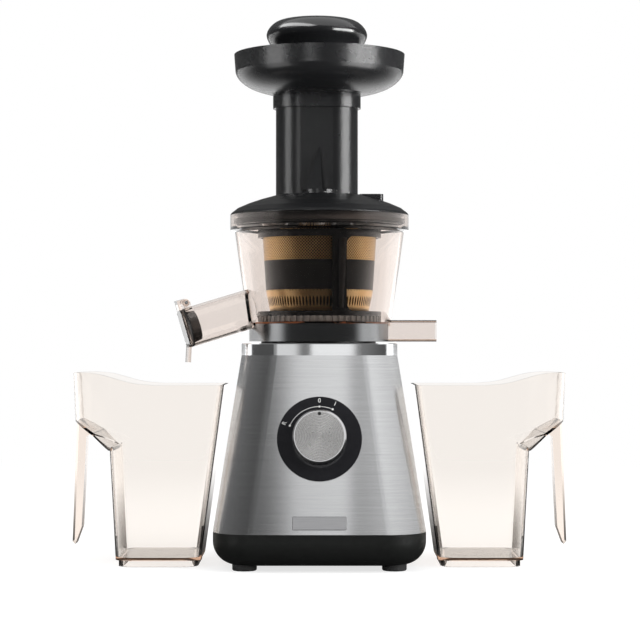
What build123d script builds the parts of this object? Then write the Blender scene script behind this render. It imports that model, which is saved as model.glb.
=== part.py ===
from build123d import *
from math import atan2, cos, degrees, hypot, pi, radians, sin, sqrt, tan
import os

# Cold press juicer with its two jugs, in millimetres.
# The origin is on the floor, under the axis of the auger. +Z is up and -Y is the front with the knob.

# ---------------------------------------------------------------- fits and walls
RUN = 0.05            # radial clearance of a shaft in its bearing
SEAT = 0.3            # clearance between parts that lift apart
FIT = 0.1             # clearance of a part that is pushed on and stays
BLIND = 1.0           # left under a blind bore
JOIN = 1.0            # overlap of two shapes of one moulding
PAST = 10.0           # how far a cutting shape goes past what it cuts
PLASTIC = 2.4         # wall of the moulded parts
SHEET = 1.2           # wall of the steel shell

# ---------------------------------------------------------------- base
FOOT_RADIUS = 9.0
FOOT_HEIGHT = 5.5
FOOT_SPREAD = 54.5    # foot centres from the middle, both ways
FOOT_RECESS = 1.5
FOOT_EDGE = 0.8
FOOT_PLUG_TOP = 7.6
BASE_SCREW_RADIUS = 2.0
BASE_SCREW_HEAD = 4.0
BASE_SCREW_SEAT = 10.0
BASE_SCREW_LENGTH = 24.0
PAN_BOTTOM = 4.0
PAN_FLOOR = 3.0
PAN_EDGE = 17.0       # rounding of the pan's lower edge
SHELL_LOW = 27.8      # where the steel shell stands on the pan
SHELL_TALL = 128.5
SHELL_HALF_LOW = 77.9
SHELL_HALF_HIGH = 57.6
SHELL_CORNER_LOW = 30.0
SHELL_CORNER_HIGH = 27.0
FLANGE_THICK = 1.5    # inward flange that the base screws hold
FLANGE_HALF = 62.0
FLANGE_CORNER = 45.0
RING_HEIGHT = 8.7     # chrome ring
RING_WALL = 2.4
RING_LEDGE = 1.7
RING_LEDGE_WIDTH = 3.4
RING_EDGE = 0.6
DECK_PLATE = 3.0
TURRET_RADIUS = 44.0
TURRET_HEIGHT = 12.7
TURRET_BORE = 12.0    # seat of the shaft seal
TURRET_EDGE = 1.5
DUCT_GAP = 0.6
SEAL_DEEP = 5.7       # below the turret's top
SEAL_GROOVE = 2.0

VENT_COUNT = 7
VENT_LENGTH = 26.0
VENT_WIDTH = 2.4
VENT_PITCH = 6.0

# ---------------------------------------------------------------- dial and knob
DIAL_UP = 68.2        # from the foot of the shell to the dial's centre
DIAL_RADIUS = 30.7
DIAL_THICK = 1.6
DIAL_EDGE = 0.5
KNOB_RADIUS = 19.2
KNOB_REACH = 19.3     # from the steel face to the face of the knob
KNOB_CHAMFER = 1.0
KNOB_GAP = 0.4
KNOB_INLAY = 0.8
KNOB_WALL = 2.2
KNOB_ROOF = 3.0
KNOB_HUB = 5.6
KNOB_RIB = 0.6
KNOB_RIBS = 4
KNOB_FACE_RADIUS = 17.6
MARKER_RADIUS = 1.2
MARKER_OFFSET = 16.2
SPINDLE_RADIUS = 3.0
SPINDLE_FLAT = 2.2
SPINDLE_DEEP = 10.0
SPINDLE_SHORT = 4.0
NECK_RADIUS = 4.8
SWITCH_SIDE = 25.0
SWITCH_DEPTH = 19.0
TAB_PITCH = 7.0
TAB_HALF = 2.4
TAB_THICK = 0.4
TAB_LONG = 7.0
BADGE_WIDTH = 38.9
BADGE_TALL = 9.7
BADGE_THICK = 0.9
BADGE_UP = 8.2
BADGE_CORNER = 0.8
BADGE_EDGE = 0.3

# ---------------------------------------------------------------- gears
MODULE_FAST = 1.0
MODULE_SLOW = 1.25
MOTOR_TEETH = 12
WHEEL_TEETH = 60
PINION_TEETH = 12
OUTPUT_TEETH = 48
WIPER_MODULE = 1.0
AUGER_TEETH = 20
IDLER_TEETH = 20
RING_TEETH = 60
BACKLASH = 0.16       # taken off each flank at the pitch circle
PRESSURE = radians(20)

GEARBOX_DROP = 75.0   # from the deck's top to the gearbox's underside
GEARBOX_PLATE = 4.0
GEARBOX_ROOM = 3.0    # above the output gear
GEARBOX_WALL = 2.2
GEARBOX_LID = 5.0
GEAR_SPACE = 1.0      # tooth tips to the housing
STUB_WALL = 2.2
LUG_NECK = 5.0
FAST_UP = 2.0         # wheel above the gearbox floor
FAST_FACE = 8.0
SLOW_UP = 3.0         # output gear above the wheel
SLOW_FACE = 10.0
PINION_OVER = 0.5     # the motor pinion is this much wider than the wheel, both ways
COMPOUND_OVER = 1.0   # the small pinion is this much wider than the output gear
TOWER_WALL = 4.0
TOWER_TALL = 25.0
TOWER_WEBS = 6
TOWER_WEB = 26.0
TOWER_WEB_TALL = 14.0
WEB_HALF = 1.2
COMPOUND_ANGLE = 45.0
MOTOR_ANGLE = 200.0
LUG_RADIUS = 4.8
LUG_PLACES = ((-37.5, 0.0), (-10.0, -36.2), (28.0, -38.0), (28.0, 38.0))  # along and across the gearbox
SCREW_RADIUS = 1.5
SCREW_HEAD = 2.8
SCREW_HEAD_TALL = 2.0
SCREW_BITE = 12.0

# ---------------------------------------------------------------- motor
MOTOR_RADIUS = 30.0
MOTOR_OVER_BOARD = 16.0  # from the board's underside to the can
MOTOR_COLLAR = 2.0    # from the can to the gearbox
MOTOR_WALL = 2.0
CAN_VENTS = 6
CAN_VENT_NEAR = 12.0
CAN_VENT_HALF = 4.0
CAN_VENT_TALL = 8.0
MAGNET_THICK = 4.5
MAGNET_UP = 12.0      # from each end of the can
MAGNET_GAP = 7.0
ARMATURE_RADIUS = 22.5
ARMATURE_SLOTS = 12
SLOT_DEEP = 8.0
SLOT_HALF = 1.6
COMMUTATOR_RADIUS = 9.0
MOTOR_SHAFT_RADIUS = 2.5
MOTOR_SHAFT_OUT = 2.0
MOTOR_HEX = 4.4
MOTOR_BUSH_RADIUS = 6.0
BUSH_LENGTH = 7.0
BUSH_PROUD = 1.0      # the lower bush stands out of the can by this
FAN_UP = 3.5
FAN_RADIUS = 24.0
FAN_HUB = 6.0
FAN_HEIGHT = 6.0
FAN_BLADES = 9
FAN_BLADE_HALF = 0.6
FAN_PLATE = 1.2
BRUSH_SIDE = 5.0
BRUSH_DOWN = 7.5      # from the top of the can
BRUSH_TURN = 110.0
MOTOR_SCREW_RADIUS = 20.0
MOTOR_SCREW_BITE = 3.0
MOTOR_SCREW_ANGLES = (45.0, 225.0)

# ---------------------------------------------------------------- drive
ARBOR_RADIUS = 3.0
ARBOR_HEX = 5.6       # across the flats, where the compound gear sits
STUB_RADIUS = 3.5
JOURNAL_RADIUS = 7.0
JOURNAL_OUT = 0.5     # above the underside of the bowl
BEARING_RADIUS = 10.0
GEAR_HEX = 12.0
DRIVE_HEX = 10.0
DRIVE_HEX_LONG = 21.5
HEX_EDGE = 0.8

# ---------------------------------------------------------------- bowl
BOWL_FLOOR = 3.0
BOWL_STEP_UP = 1.6    # from the bowl's underside to the skirt's top edge
BOWL_TALL = 82.0      # from the skirt to the rim
BOWL_RIM_TALL = 11.6
BOWL_RIM_RADIUS = 67.4
BOWL_WALL = 2.4
BOWL_FOOT_RADIUS = 53.6
# share of the way out from the foot to the rim, and height above the skirt
BOWL_WALL_SHAPE = ((0.0, 0.0), (0.275, 23.9), (0.536, 48.1), (0.739, 69.0))
SPIGOT_RADIUS = 50.8
SPIGOT_WALL = 2.2
SPIGOT_DEEP = 10.0
SKIRT_RADIUS = 53.0
SKIRT_UP = 1.5        # above the deck
PLATEAU_RADIUS = 27.0
PLATEAU_TALL = 11.0
GEAR_POCKET = 0.7     # around the gears in the bowl
GEAR_LIFT = 0.4       # under the gears in the bowl
WIPER_FACE = 4.2
SHAFT_HOLE = 9.5
SEAL_WALL = 2.0
SEAL_TALL = 1.6
IDLER_PIN = 2.5
IDLER_PIN_OVER = 1.0  # the pin stands out of its gear by this
PULP_HOLE_NEAR = 14.5
PULP_HOLE_LENGTH = 11.5
PULP_HOLE_WIDTH = 15.0
DUCT_UP = 1.3         # above the deck
DUCT_TALL = 16.1
DUCT_HALF = 12.0
DUCT_NEAR = 13.2
DUCT_FAR = 87.8
DUCT_WALL = 2.0
DUCT_CORNER = 3.0
GATE_AT = 30.0
GATE_THICK = 1.6
GATE_FOOT = 8.0
GATE_OPEN = 3.0

# ---------------------------------------------------------------- juice spout and tap
SPOUT_TURN = 16.5     # degrees from -X towards the front
SPOUT_DROP = 16.75    # degrees below level
SPOUT_ROOT = 56.8     # distance of the root from the auger axis
SPOUT_ROOT_UP = 12.0  # above the underside of the bowl
SPOUT_LENGTH = 46.8
SPOUT_RADIUS = 14.7
SPOUT_WALL = 2.0
SPOUT_SINK = 8.0
SPOUT_FLOOR_RADIUS = 54.4
TAP_THICK = 2.2
TAP_PLATE_GAP = 1.4
TAP_EDGE = 0.6
TAP_STRAP = 7.5       # half width of the plate
TAP_ARM = 8.0
TAP_TAIL_ROOT = 3.0
TAP_PLUG = 7.0
TAP_PLUG_GAP = 0.5
TAP_PLUG_TAPER = 1.2
TAP_PLUG_WALL = 2.0
TAP_LIP_SHORT = 0.4
TAP_PIN_RADIUS = 1.3
TAP_PIN_UP = 18.6
TAP_PIN_BACK = 2.6
TAP_EAR = 2.2
TAP_EAR_GAP = 0.35
TAP_EAR_RADIUS = 2.3
TAP_KNUCKLE = 9.0
TAP_KNUCKLE_RADIUS = 2.9
TAP_TAIL = 14.0
TAP_TAIL_WIDTH = 9.0
TAP_TAIL_ANGLE = 20.0

# ---------------------------------------------------------------- strainer, wiper, auger
STRAINER_SHAPE = ((37.2, 0.0), (40.4, 16.0), (43.0, 58.0))  # radius, height above the plateau
STRAINER_FLOOR = 3.0
MESH_THICK = 0.8
STRAINER_RIB_DEPTH = 2.2
STRAINER_RIBS = 8
STRAINER_RIB_WIDTH = 2.2
BAND_UP = 16.1
BAND_TALL = 22.1
STRAINER_RIM = 1.2
MESH_FOOT = 0.5       # black edge under the lower mesh
STRAINER_HOLE_GAP = 0.5
WIPER_INNER = 44.2
WIPER_OUTER = 46.5
WIPER_SILL_TALL = 3.5    # from the ring gear to the windows
WIPER_WINDOW_TALL = 55.0
WIPER_LINTEL_TALL = 7.5
WIPER_POSTS = 2
WIPER_POST_ANGLE = -71.5
WIPER_POST_WIDTH = 11.0
WIPER_CORNER = 6.0
WINDOW_STEPS = 12
RING_NOTCHES = 60
NOTCH_DEEP = 1.2
BLADE_THICK = 1.6
BLADE_GAP = 0.5
BLADE_END = 2.0       # from the blade to the window edges
AUGER_CORE_LOW = 21.0
AUGER_CORE_HIGH = 12.0
AUGER_NECK = 11.0
AUGER_SHORT = 1.0     # below the strainer's rim
AUGER_GAP = 1.0
AUGER_FLIGHT_WIDTH = 4.5
AUGER_TWIST = 330.0
FLIGHT_SHORT = 3.0
AUGER_PIN = 3.0
AUGER_PIN_TALL = 22.0
SOCKET_HEX = 13.0
SOCKET_ROOF = 4.0     # above the drive shaft
SOCKET_PLAY = 0.1

# ---------------------------------------------------------------- lid and feed tube
# inwards from the bowl's rim, and above it
LID_SHAPE = ((0.0, 0.3), (1.0, 1.7), (5.6, 5.2), (13.7, 8.7), (22.8, 11.8), (34.0, 14.9))
LID_TALL = 16.6
LID_SKIRT_IN = 3.0    # from the inside of the bowl's rim
LID_SKIRT_DEEP = 7.6
GASKET_DOWN = 6.4
GASKET_TALL = 3.0
GASKET_DEPTH = 1.0
COLLAR_RADIUS = 35.5  # ring under the lid that closes the top of the strainer
COLLAR_UP = 0.4       # above the strainer's rim
BOSS_RADIUS = 13.5
BOSS_TALL = 2.8
BOSS_NOTCHES = 10
BOSS_NOTCH_WIDTH = 3.0
NOTCH_TALL = 1.6
BEARING_BOSS = 6.2
BEARING_LONG = 10.0
BEARING_BUSH = 4.4
PAD_NEAR = 30.0
PAD_FAR = 48.0
PAD_HALF = 12.0
PAD_DOWN = 1.0        # below the crown
PAD_CORNER = 3.0
TUBE_HALF = 31.4      # half width of the oval feed tube
TUBE_DEPTH = 19.0     # half depth
TUBE_X = -2.0
TUBE_Y = 21.0
TUBE_TALL = 78.4      # above the crown
TUBE_SINK = 2.0
GUSSET_TALL = 38.8
GUSSET_PEAK = 0.4     # across from the middle, at the top of the wedge
GUSSET_LEFT = -11.0
GUSSET_RIGHT = 2.2
GUSSET_FRONT = -11.5

# ---------------------------------------------------------------- hopper tray and pusher
TRAY_Y = 10.0
TRAY_RADIUS = 64.9
TRAY_RIM_UP = 27.9    # above the feed tube
TRAY_SIDE_UP = 14.4
TRAY_SIDE_RADIUS = 63.9
TRAY_SHAPE = ((61.3, 9.4), (55.2, 4.4), (45.3, 0.4), (35.4, -1.9))  # above the feed tube
TRAY_DRAFT = 1.9      # the inner curve is this much narrower than the outer
TRAY_SEAT_THICK = 2.2
TRAY_COLLAR = 1.9
TRAY_COLLAR_DEEP = 11.9
STEM_UP = 0.8         # above the lid's crown
STEM_SINK = 1.2       # into the cap
STEM_FLANGE = 2.6
STEM_FLANGE_WIDE = 2.2
STEM_GAP = 0.5
CAP_UP = 34.2         # above the feed tube
CAP_TALL = 23.8
CAP_UNDER = 34.6
CAP_SHAPE = ((36.8, 5.0), (38.6, 10.2), (35.7, 16.6), (30.6, 20.4), (22.2, 22.1), (11.5, 23.3))
CAP_HOLLOW_TALL = 14.2

# ---------------------------------------------------------------- jugs
JUG_OUTER = 107.4     # every jug length is measured from the side of the pan
JUG_INNER_TOP = -7.6  # leans in over the machine's foot
JUG_INNER_LOW = 10.0
JUG_BACK_TOP = 79.5
JUG_BACK_LOW = 73.0
JUG_WALL = 2.2
JUG_FLOOR = 5.0
JUG_DEPTH_TOP = 46.0
JUG_DEPTH_LOW = 39.0
JUG_CORNER = 11.0
JUG_BACK_CORNER = 40.0
JUG_HULL_ROUND = 20.0  # rounding under the beak
JUG_HULL_TALL = 120.0
JUG_FLAT_TOP = 134.2
JUG_LIP = 143.3
JUG_LIP_POINTS = ((51.8, 134.9), (68.4, 138.0), (81.7, 141.7), (96.1, 143.3))
JUG_LIP_OUTER = 142.6
JUG_LIP_PAST = 2.0
JUG_LIP_FLAT = 8.0
JUG_BEAK_OUTER_LOW = 104.9
JUG_BEAK_LOW = 107.0
JUG_ARCH = 97.0
JUG_ARCH_AT = 89.8
JUG_ARCH_END = 79.0
JUG_UNDER = 85.6
JUG_BEAK_ROOT = 40.0
JUG_FOOT_NEAR = 12.1
JUG_FOOT_FAR = 71.1
JUG_FOOT_DEPTH = 35.0
JUG_FOOT_RING = 3.0
HANDLE_TOP_OUTER = 104.0
HANDLE_TOP_INNER = 97.2
HANDLE_LOW_INNER = 100.7
HANDLE_TIP = 14.4
HANDLE_SLANT = 12.8   # height of the slanted end
HANDLE_HALF = 8.5
HANDLE_ROOT = 3.0
HANDLE_ROUND = 2.0

# ---------------------------------------------------------------- electrics
BOARD_LENGTH = 56.0
BOARD_WIDTH = 30.0
BOARD_THICK = 1.6
BOARD_BACK = 31.9     # from the back of the pan to the board's middle
BOARD_LOW = 14.0
BOARD_POST = 2.5
CAPACITOR_X = -16.0
CAPACITOR_HALF = 8.0
CAPACITOR_TALL = 9.0
RELAY_X = 1.0
RELAY_HALF = 5.0
RELAY_TALL = 8.0
HEAT_SINK_X = 23.0
HEAT_SINK_HALF = 3.0
HEAT_SINK_TALL = 7.0
HEAT_SINK_WIDE = 10.0
COIL_RADIUS = 4.0
COIL_TALL = 9.0
COIL_X = 14.0
COIL_BACK = 5.0
GLAND_HEIGHT = 16.0
GLAND_RADIUS = 6.5
GLAND_INSIDE = 6.0
GLAND_LIP = 1.4
GLAND_GROOVES = 3
GLAND_GROOVE = 1.2
GLAND_BORE = 3.5

# ---------------------------------------------------------------- heights, stacked from the floor up
SHELL_HIGH = SHELL_LOW + SHELL_TALL
DIAL_HEIGHT = SHELL_LOW + DIAL_UP
BADGE_HEIGHT = SHELL_LOW + BADGE_UP
DECK_TOP = SHELL_HIGH + RING_HEIGHT
DECK_LOW = SHELL_HIGH + RING_LEDGE
TURRET_TOP = DECK_TOP + TURRET_HEIGHT
SEAL_LOW = TURRET_TOP - SEAL_DEEP
GEARBOX_LOW = DECK_TOP - GEARBOX_DROP
FAST_LOW = GEARBOX_LOW + GEARBOX_PLATE + FAST_UP
PINION_LOW = FAST_LOW + FAST_FACE
SLOW_LOW = PINION_LOW + SLOW_UP
SLOW_HIGH = SLOW_LOW + SLOW_FACE
COMPOUND_TOP = SLOW_HIGH + COMPOUND_OVER
GEARBOX_TOP = SLOW_HIGH + GEARBOX_ROOM
LID_HIGH = GEARBOX_TOP + GEARBOX_LID
TOWER_TOP = LID_HIGH + TOWER_TALL
MOTOR_HIGH = GEARBOX_LOW - MOTOR_COLLAR
MOTOR_LOW = BOARD_LOW + MOTOR_OVER_BOARD
MAGNET_LOW = MOTOR_LOW + MAGNET_UP
MAGNET_HIGH = MOTOR_HIGH - MAGNET_UP
MOTOR_SHAFT_LOW = MOTOR_LOW - MOTOR_SHAFT_OUT
FAN_LOW = MOTOR_LOW + FAN_UP
BRUSH_LEVEL = MOTOR_HIGH - BRUSH_DOWN
BOWL_FLOOR_LOW = TURRET_TOP + SEAT
FLOOR_TOP = BOWL_FLOOR_LOW + BOWL_FLOOR
BOWL_STEP = BOWL_FLOOR_LOW + BOWL_STEP_UP
BOWL_RIM = BOWL_STEP + BOWL_TALL
BOWL_RIM_LOW = BOWL_RIM - BOWL_RIM_TALL
BOWL_FLARE = BOWL_RIM_RADIUS - BOWL_FOOT_RADIUS
BOWL_PROFILE = [(BOWL_FOOT_RADIUS + share * BOWL_FLARE, BOWL_STEP + up) for share, up in BOWL_WALL_SHAPE]
SPIGOT_LOW = BOWL_FLOOR_LOW - SPIGOT_DEEP
SKIRT_LOW = DECK_TOP + SKIRT_UP
PLATEAU_TOP = BOWL_FLOOR_LOW + PLATEAU_TALL
DUCT_LOW = DECK_TOP + DUCT_UP
DUCT_HIGH = DUCT_LOW + DUCT_TALL
SPOUT_ROOT_HEIGHT = BOWL_FLOOR_LOW + SPOUT_ROOT_UP
JOURNAL_TOP = BOWL_FLOOR_LOW + JOURNAL_OUT
DRIVE_TOP = JOURNAL_TOP + DRIVE_HEX_LONG
SOCKET_TOP = DRIVE_TOP + SOCKET_ROOF
WIPER_GEAR_LOW = FLOOR_TOP + GEAR_LIFT
WIPER_GEAR_HIGH = WIPER_GEAR_LOW + WIPER_FACE
WIPER_SILL = WIPER_GEAR_HIGH + WIPER_SILL_TALL
WIPER_LINTEL = WIPER_SILL + WIPER_WINDOW_TALL
WIPER_TOP = WIPER_LINTEL + WIPER_LINTEL_TALL
BLADE_LOW = WIPER_SILL + BLADE_END
BLADE_HIGH = WIPER_LINTEL - BLADE_END
STRAINER_PROFILE = [(radius, PLATEAU_TOP + up) for radius, up in STRAINER_SHAPE]
STRAINER_TOP = STRAINER_PROFILE[-1][1]
STRAINER_FLOOR_TOP = PLATEAU_TOP + STRAINER_FLOOR
MESH_LOW = PLATEAU_TOP + MESH_FOOT
MESH_HIGH = STRAINER_TOP - STRAINER_RIM
BAND_LOW = PLATEAU_TOP + BAND_UP
BAND_HIGH = BAND_LOW + BAND_TALL
AUGER_TOP = STRAINER_TOP - AUGER_SHORT
AUGER_PIN_TOP = AUGER_TOP + AUGER_PIN_TALL
COLLAR_LOW = STRAINER_TOP + COLLAR_UP
LID_PROFILE = [(BOWL_RIM_RADIUS - inward, BOWL_RIM + up) for inward, up in LID_SHAPE]
LID_CROWN = BOWL_RIM + LID_TALL
LID_SKIRT_LOW = BOWL_RIM - LID_SKIRT_DEEP
GASKET_LOW = BOWL_RIM - GASKET_DOWN
BOSS_TOP = LID_CROWN + BOSS_TALL
PAD_TOP = LID_CROWN - PAD_DOWN
BEARING_BOSS_LOW = AUGER_PIN_TOP - BEARING_LONG
TUBE_TOP = LID_CROWN + TUBE_TALL
GUSSET_TOP = LID_CROWN + GUSSET_TALL
TRAY_RIM = TUBE_TOP + TRAY_RIM_UP
TRAY_SIDE_LOW = TUBE_TOP + TRAY_SIDE_UP
TRAY_CURVE = [(radius, TUBE_TOP + up) for radius, up in TRAY_SHAPE]
TRAY_COLLAR_LOW = TUBE_TOP - TRAY_COLLAR_DEEP
CAP_LOW = TUBE_TOP + CAP_UP
CAP_TOP = CAP_LOW + CAP_TALL
CAP_DOME = [(radius, CAP_LOW + up) for radius, up in CAP_SHAPE]
CAP_HOLLOW = CAP_LOW + CAP_HOLLOW_TALL
STEM_LOW = LID_CROWN + STEM_UP
STEM_TOP = CAP_LOW + STEM_SINK

# ---------------------------------------------------------------- widths and places worked out
TAPER = (SHELL_HALF_LOW - SHELL_HALF_HIGH) / SHELL_TALL
LEAN = atan2(SHELL_HALF_LOW - SHELL_HALF_HIGH, SHELL_TALL)
DECK_HALF = SHELL_HALF_HIGH - RING_WALL - FIT
DECK_CORNER = SHELL_CORNER_HIGH - RING_WALL
WHEEL_DISTANCE = MODULE_FAST * (MOTOR_TEETH + WHEEL_TEETH) / 2
OUTPUT_DISTANCE = MODULE_SLOW * (PINION_TEETH + OUTPUT_TEETH) / 2
COMPOUND = (
    OUTPUT_DISTANCE * cos(radians(COMPOUND_ANGLE)),
    OUTPUT_DISTANCE * sin(radians(COMPOUND_ANGLE)),
)
MOTOR = (
    COMPOUND[0] + WHEEL_DISTANCE * cos(radians(MOTOR_ANGLE)),
    COMPOUND[1] + WHEEL_DISTANCE * sin(radians(MOTOR_ANGLE)),
)
MIDDLE = (COMPOUND[0] / 2, COMPOUND[1] / 2)
WHEEL_RADIUS = max(MODULE_FAST * (WHEEL_TEETH / 2 + 1), MODULE_SLOW * (OUTPUT_TEETH / 2 + 1))
CAVITY_RADIUS = WHEEL_RADIUS + GEAR_SPACE
HOUSING_RADIUS = CAVITY_RADIUS + GEARBOX_WALL
IDLER_X = -WIPER_MODULE * (AUGER_TEETH + IDLER_TEETH) / 2
IDLER_TIP = WIPER_MODULE * (IDLER_TEETH / 2 + 1)
AUGER_TIP = WIPER_MODULE * (AUGER_TEETH / 2 + 1)
RIM_INNER = BOWL_RIM_RADIUS - BOWL_WALL
LID_SKIRT_RADIUS = RIM_INNER - LID_SKIRT_IN
LID_INNER = LID_SKIRT_RADIUS - PLASTIC
STEM_HALF = TUBE_HALF - PLASTIC - STEM_GAP
STEM_DEEP = TUBE_DEPTH - PLASTIC - STEM_GAP
BOARD_Y = SHELL_HALF_LOW - BOARD_BACK


# ---------------------------------------------------------------- shapes used more than once
def disc(radius, low, high, at=(0.0, 0.0)):
    """Upright cylinder between two heights."""
    cylinder = Cylinder(radius, high - low, align=(Align.CENTER, Align.CENTER, Align.MIN))
    return Pos(at[0], at[1], low) * cylinder


def tube(outer, inner, low, high, at=(0.0, 0.0)):
    """Upright tube between two heights."""
    return disc(outer, low, high, at) - disc(inner, low, high, at)


def block(x, y, z):
    """Box from its two limits along each axis."""
    box = Box(x[1] - x[0], y[1] - y[0], z[1] - z[0])
    return Pos((x[0] + x[1]) / 2, (y[0] + y[1]) / 2, (z[0] + z[1]) / 2) * box


def prism(sketch, low, high):
    """Sketch on the floor plane, pulled up between two heights."""
    return extrude(Pos(0, 0, low) * sketch, high - low)


def turned(points):
    """Solid of revolution about Z from (radius, height) points."""
    outline = Polyline(*points, close=True)
    return revolve(Plane.XZ * make_face(outline), Axis.Z)


def square(half, corner):
    """Rounded square about the origin."""
    return RectangleRounded(2 * half, 2 * half, corner)


def oval(half_width, half_depth):
    """Slot outline of the feed tube, about the tube's own centre."""
    return Pos(TUBE_X, TUBE_Y) * SlotOverall(2 * half_width, 2 * half_depth)


def hexagon(across, turn=0.0):
    """Regular hexagon given across its flats."""
    return Rot(0, 0, turn) * RegularPolygon(across / 2, 6, major_radius=False)


def shell_half(height):
    """Half width of the outside of the steel shell at a height."""
    return SHELL_HALF_LOW - TAPER * (height - SHELL_LOW)


def front_plane(height):
    """Plane on the leaning front face, with its normal pointing out and its y axis up the face."""
    return Plane(
        origin=(0, -shell_half(height), height),
        x_dir=(1, 0, 0),
        z_dir=(0, -cos(LEAN), sin(LEAN)),
    )


def along_profile(profile, height):
    """Radius on a profile of (radius, height) points, carried on in a straight line past its ends."""
    spans = list(zip(profile, profile[1:]))
    span = spans[-1]
    for low, high in spans:
        if height <= high[1]:
            span = (low, high)
            break
    (r0, z0), (r1, z1) = span
    return r0 + (r1 - r0) * (height - z0) / (z1 - z0)


def cone_between(profile, low, high, inset):
    """Solid inside a profile between two heights, inset from it."""
    heights = [low] + [z for _, z in profile if low < z < high] + [high]
    wall = [(along_profile(profile, z) - inset, z) for z in heights]
    return turned([(0, low)] + wall + [(0, high)])


def band_between(profile, low, high, outer_inset, inner_inset):
    """Wall that follows a profile between two heights."""
    heights = [low] + [z for _, z in profile if low < z < high] + [high]
    outer = [(along_profile(profile, z) - outer_inset, z) for z in heights]
    inner = [(along_profile(profile, z) - inner_inset, z) for z in reversed(heights)]
    return turned(outer + inner)


def tooth_half_angle(teeth, module, radius, shift):
    """Half the angle that an involute tooth spans at a radius; shift thins or thickens it at the pitch circle."""
    pitch = teeth * module / 2
    base = pitch * cos(PRESSURE)
    at = max(radius, base)
    roll = sqrt((at / base) ** 2 - 1)
    involute = roll - atan2(roll, 1)
    pitch_involute = tan(PRESSURE) - PRESSURE
    return pi / (2 * teeth) - shift / pitch + pitch_involute - involute


def gear_outline(teeth, module, tip, root, shift):
    """Closed outline of straight facets through points of the involute flanks."""
    pitch = teeth * module / 2
    radii = (root, (root + pitch) / 2, pitch, tip)
    points = []
    for tooth in range(teeth):
        middle = 2 * pi * tooth / teeth
        left = [(r, middle - tooth_half_angle(teeth, module, r, shift)) for r in radii]
        right = [(r, middle + tooth_half_angle(teeth, module, r, shift)) for r in reversed(radii)]
        points += left + right
    return Polyline(*[(r * cos(a), r * sin(a)) for r, a in points], close=True)


def outer_gear(teeth, module):
    """Face of a gear with its first tooth on +X."""
    pitch = teeth * module / 2
    return make_face(gear_outline(teeth, module, pitch + 0.95 * module, pitch - 1.25 * module, BACKLASH))


def inner_gear_hole(teeth, module):
    """Hole of a ring gear: its tooth spaces are the teeth of this outline, the first on +X."""
    pitch = teeth * module / 2
    return make_face(gear_outline(teeth, module, pitch + 1.25 * module, pitch - 0.9 * module, -BACKLASH))


def at_gear(place, turn, sketch):
    """Gear face at its axis, turned by an angle in degrees."""
    return Pos(place[0], place[1]) * Rot(0, 0, turn) * sketch


def meshing_turn(turn, teeth, other_teeth, direction):
    """Turn of the second gear that puts its tooth space on the first gear's tooth along a direction."""
    phase = (direction - turn) * teeth / 360
    other_phase = 0.5 - phase
    return direction + 180 - other_phase * 360 / other_teeth


def gearbox_outline(radius):
    """Slot around the compound and output gears."""
    slot = SlotCenterToCenter(OUTPUT_DISTANCE, 2 * radius)
    return Rot(0, 0, COMPOUND_ANGLE) * Pos(OUTPUT_DISTANCE / 2, 0) * slot


def lug_places():
    """Centres of the four gearbox screws."""
    places = []
    for along, across in LUG_PLACES:
        place = Vector(along, across, 0).rotate(Axis.Z, COMPOUND_ANGLE)
        places.append((place.X, place.Y))
    return places


def corner_places(offset):
    """The four places at equal offsets along X and Y."""
    return [(x * offset, y * offset) for x in (-1, 1) for y in (-1, 1)]


def screw(place, head_low, head_radius, head_tall, radius, length):
    """Screw that points up, with its head at the bottom."""
    shank = disc(radius, head_low + head_tall, head_low + head_tall + length, place)
    return disc(head_radius, head_low, head_low + head_tall, place) + shank


# ---------------------------------------------------------------- base pieces


def base_pan():
    """Black tray with a rounded lower edge, screw columns, vents and board posts."""
    outer = prism(square(SHELL_HALF_LOW, SHELL_CORNER_LOW), PAN_BOTTOM, SHELL_LOW)
    outer = fillet(outer.faces().sort_by(Axis.Z)[0].edges(), PAN_EDGE)
    inner_half = SHELL_HALF_LOW - PLASTIC
    inner = prism(square(inner_half, SHELL_CORNER_LOW - PLASTIC), PAN_BOTTOM + PAN_FLOOR, SHELL_LOW)
    inner = fillet(inner.faces().sort_by(Axis.Z)[0].edges(), PAN_EDGE - PLASTIC)
    pan = outer - inner
    for place in corner_places(FOOT_SPREAD):
        pan += disc(FOOT_RADIUS + PLASTIC, PAN_BOTTOM, SHELL_LOW, place) & outer
    for place in corner_places(FOOT_SPREAD):
        pan -= disc(FOOT_RADIUS + FIT, PAN_BOTTOM, PAN_BOTTOM + FOOT_RECESS, place)
        pan -= disc(BASE_SCREW_HEAD + SEAT, PAN_BOTTOM, BASE_SCREW_SEAT, place)
        pan -= disc(BASE_SCREW_RADIUS + RUN, PAN_BOTTOM, SHELL_LOW, place)
    first = -VENT_PITCH * (VENT_COUNT - 1) / 2
    for number in range(VENT_COUNT):
        y = first + number * VENT_PITCH
        slot = (y - VENT_WIDTH / 2, y + VENT_WIDTH / 2)
        pan -= block((-VENT_LENGTH, VENT_LENGTH), slot, (PAN_BOTTOM, PAN_BOTTOM + PAN_FLOOR))
    for x, y in board_posts():
        pan += disc(BOARD_POST, PAN_BOTTOM + PAN_FLOOR / 2, BOARD_LOW, (x, y))
    pan -= Pos(0, 0, GLAND_HEIGHT) * Rot(-90, 0, 0) * disc(GLAND_RADIUS + FIT, FOOT_SPREAD, SHELL_HALF_LOW)
    return pan


def rubber_feet():
    """Four round feet with a spigot in the screw holes."""
    feet = []
    for place in corner_places(FOOT_SPREAD):
        pad = disc(FOOT_RADIUS, 0, FOOT_HEIGHT, place)
        pad = chamfer(pad.faces().sort_by(Axis.Z)[0].edges(), FOOT_EDGE)
        feet.append(pad + disc(BASE_SCREW_HEAD, FOOT_HEIGHT, FOOT_PLUG_TOP, place))
    return Compound(feet)


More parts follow.
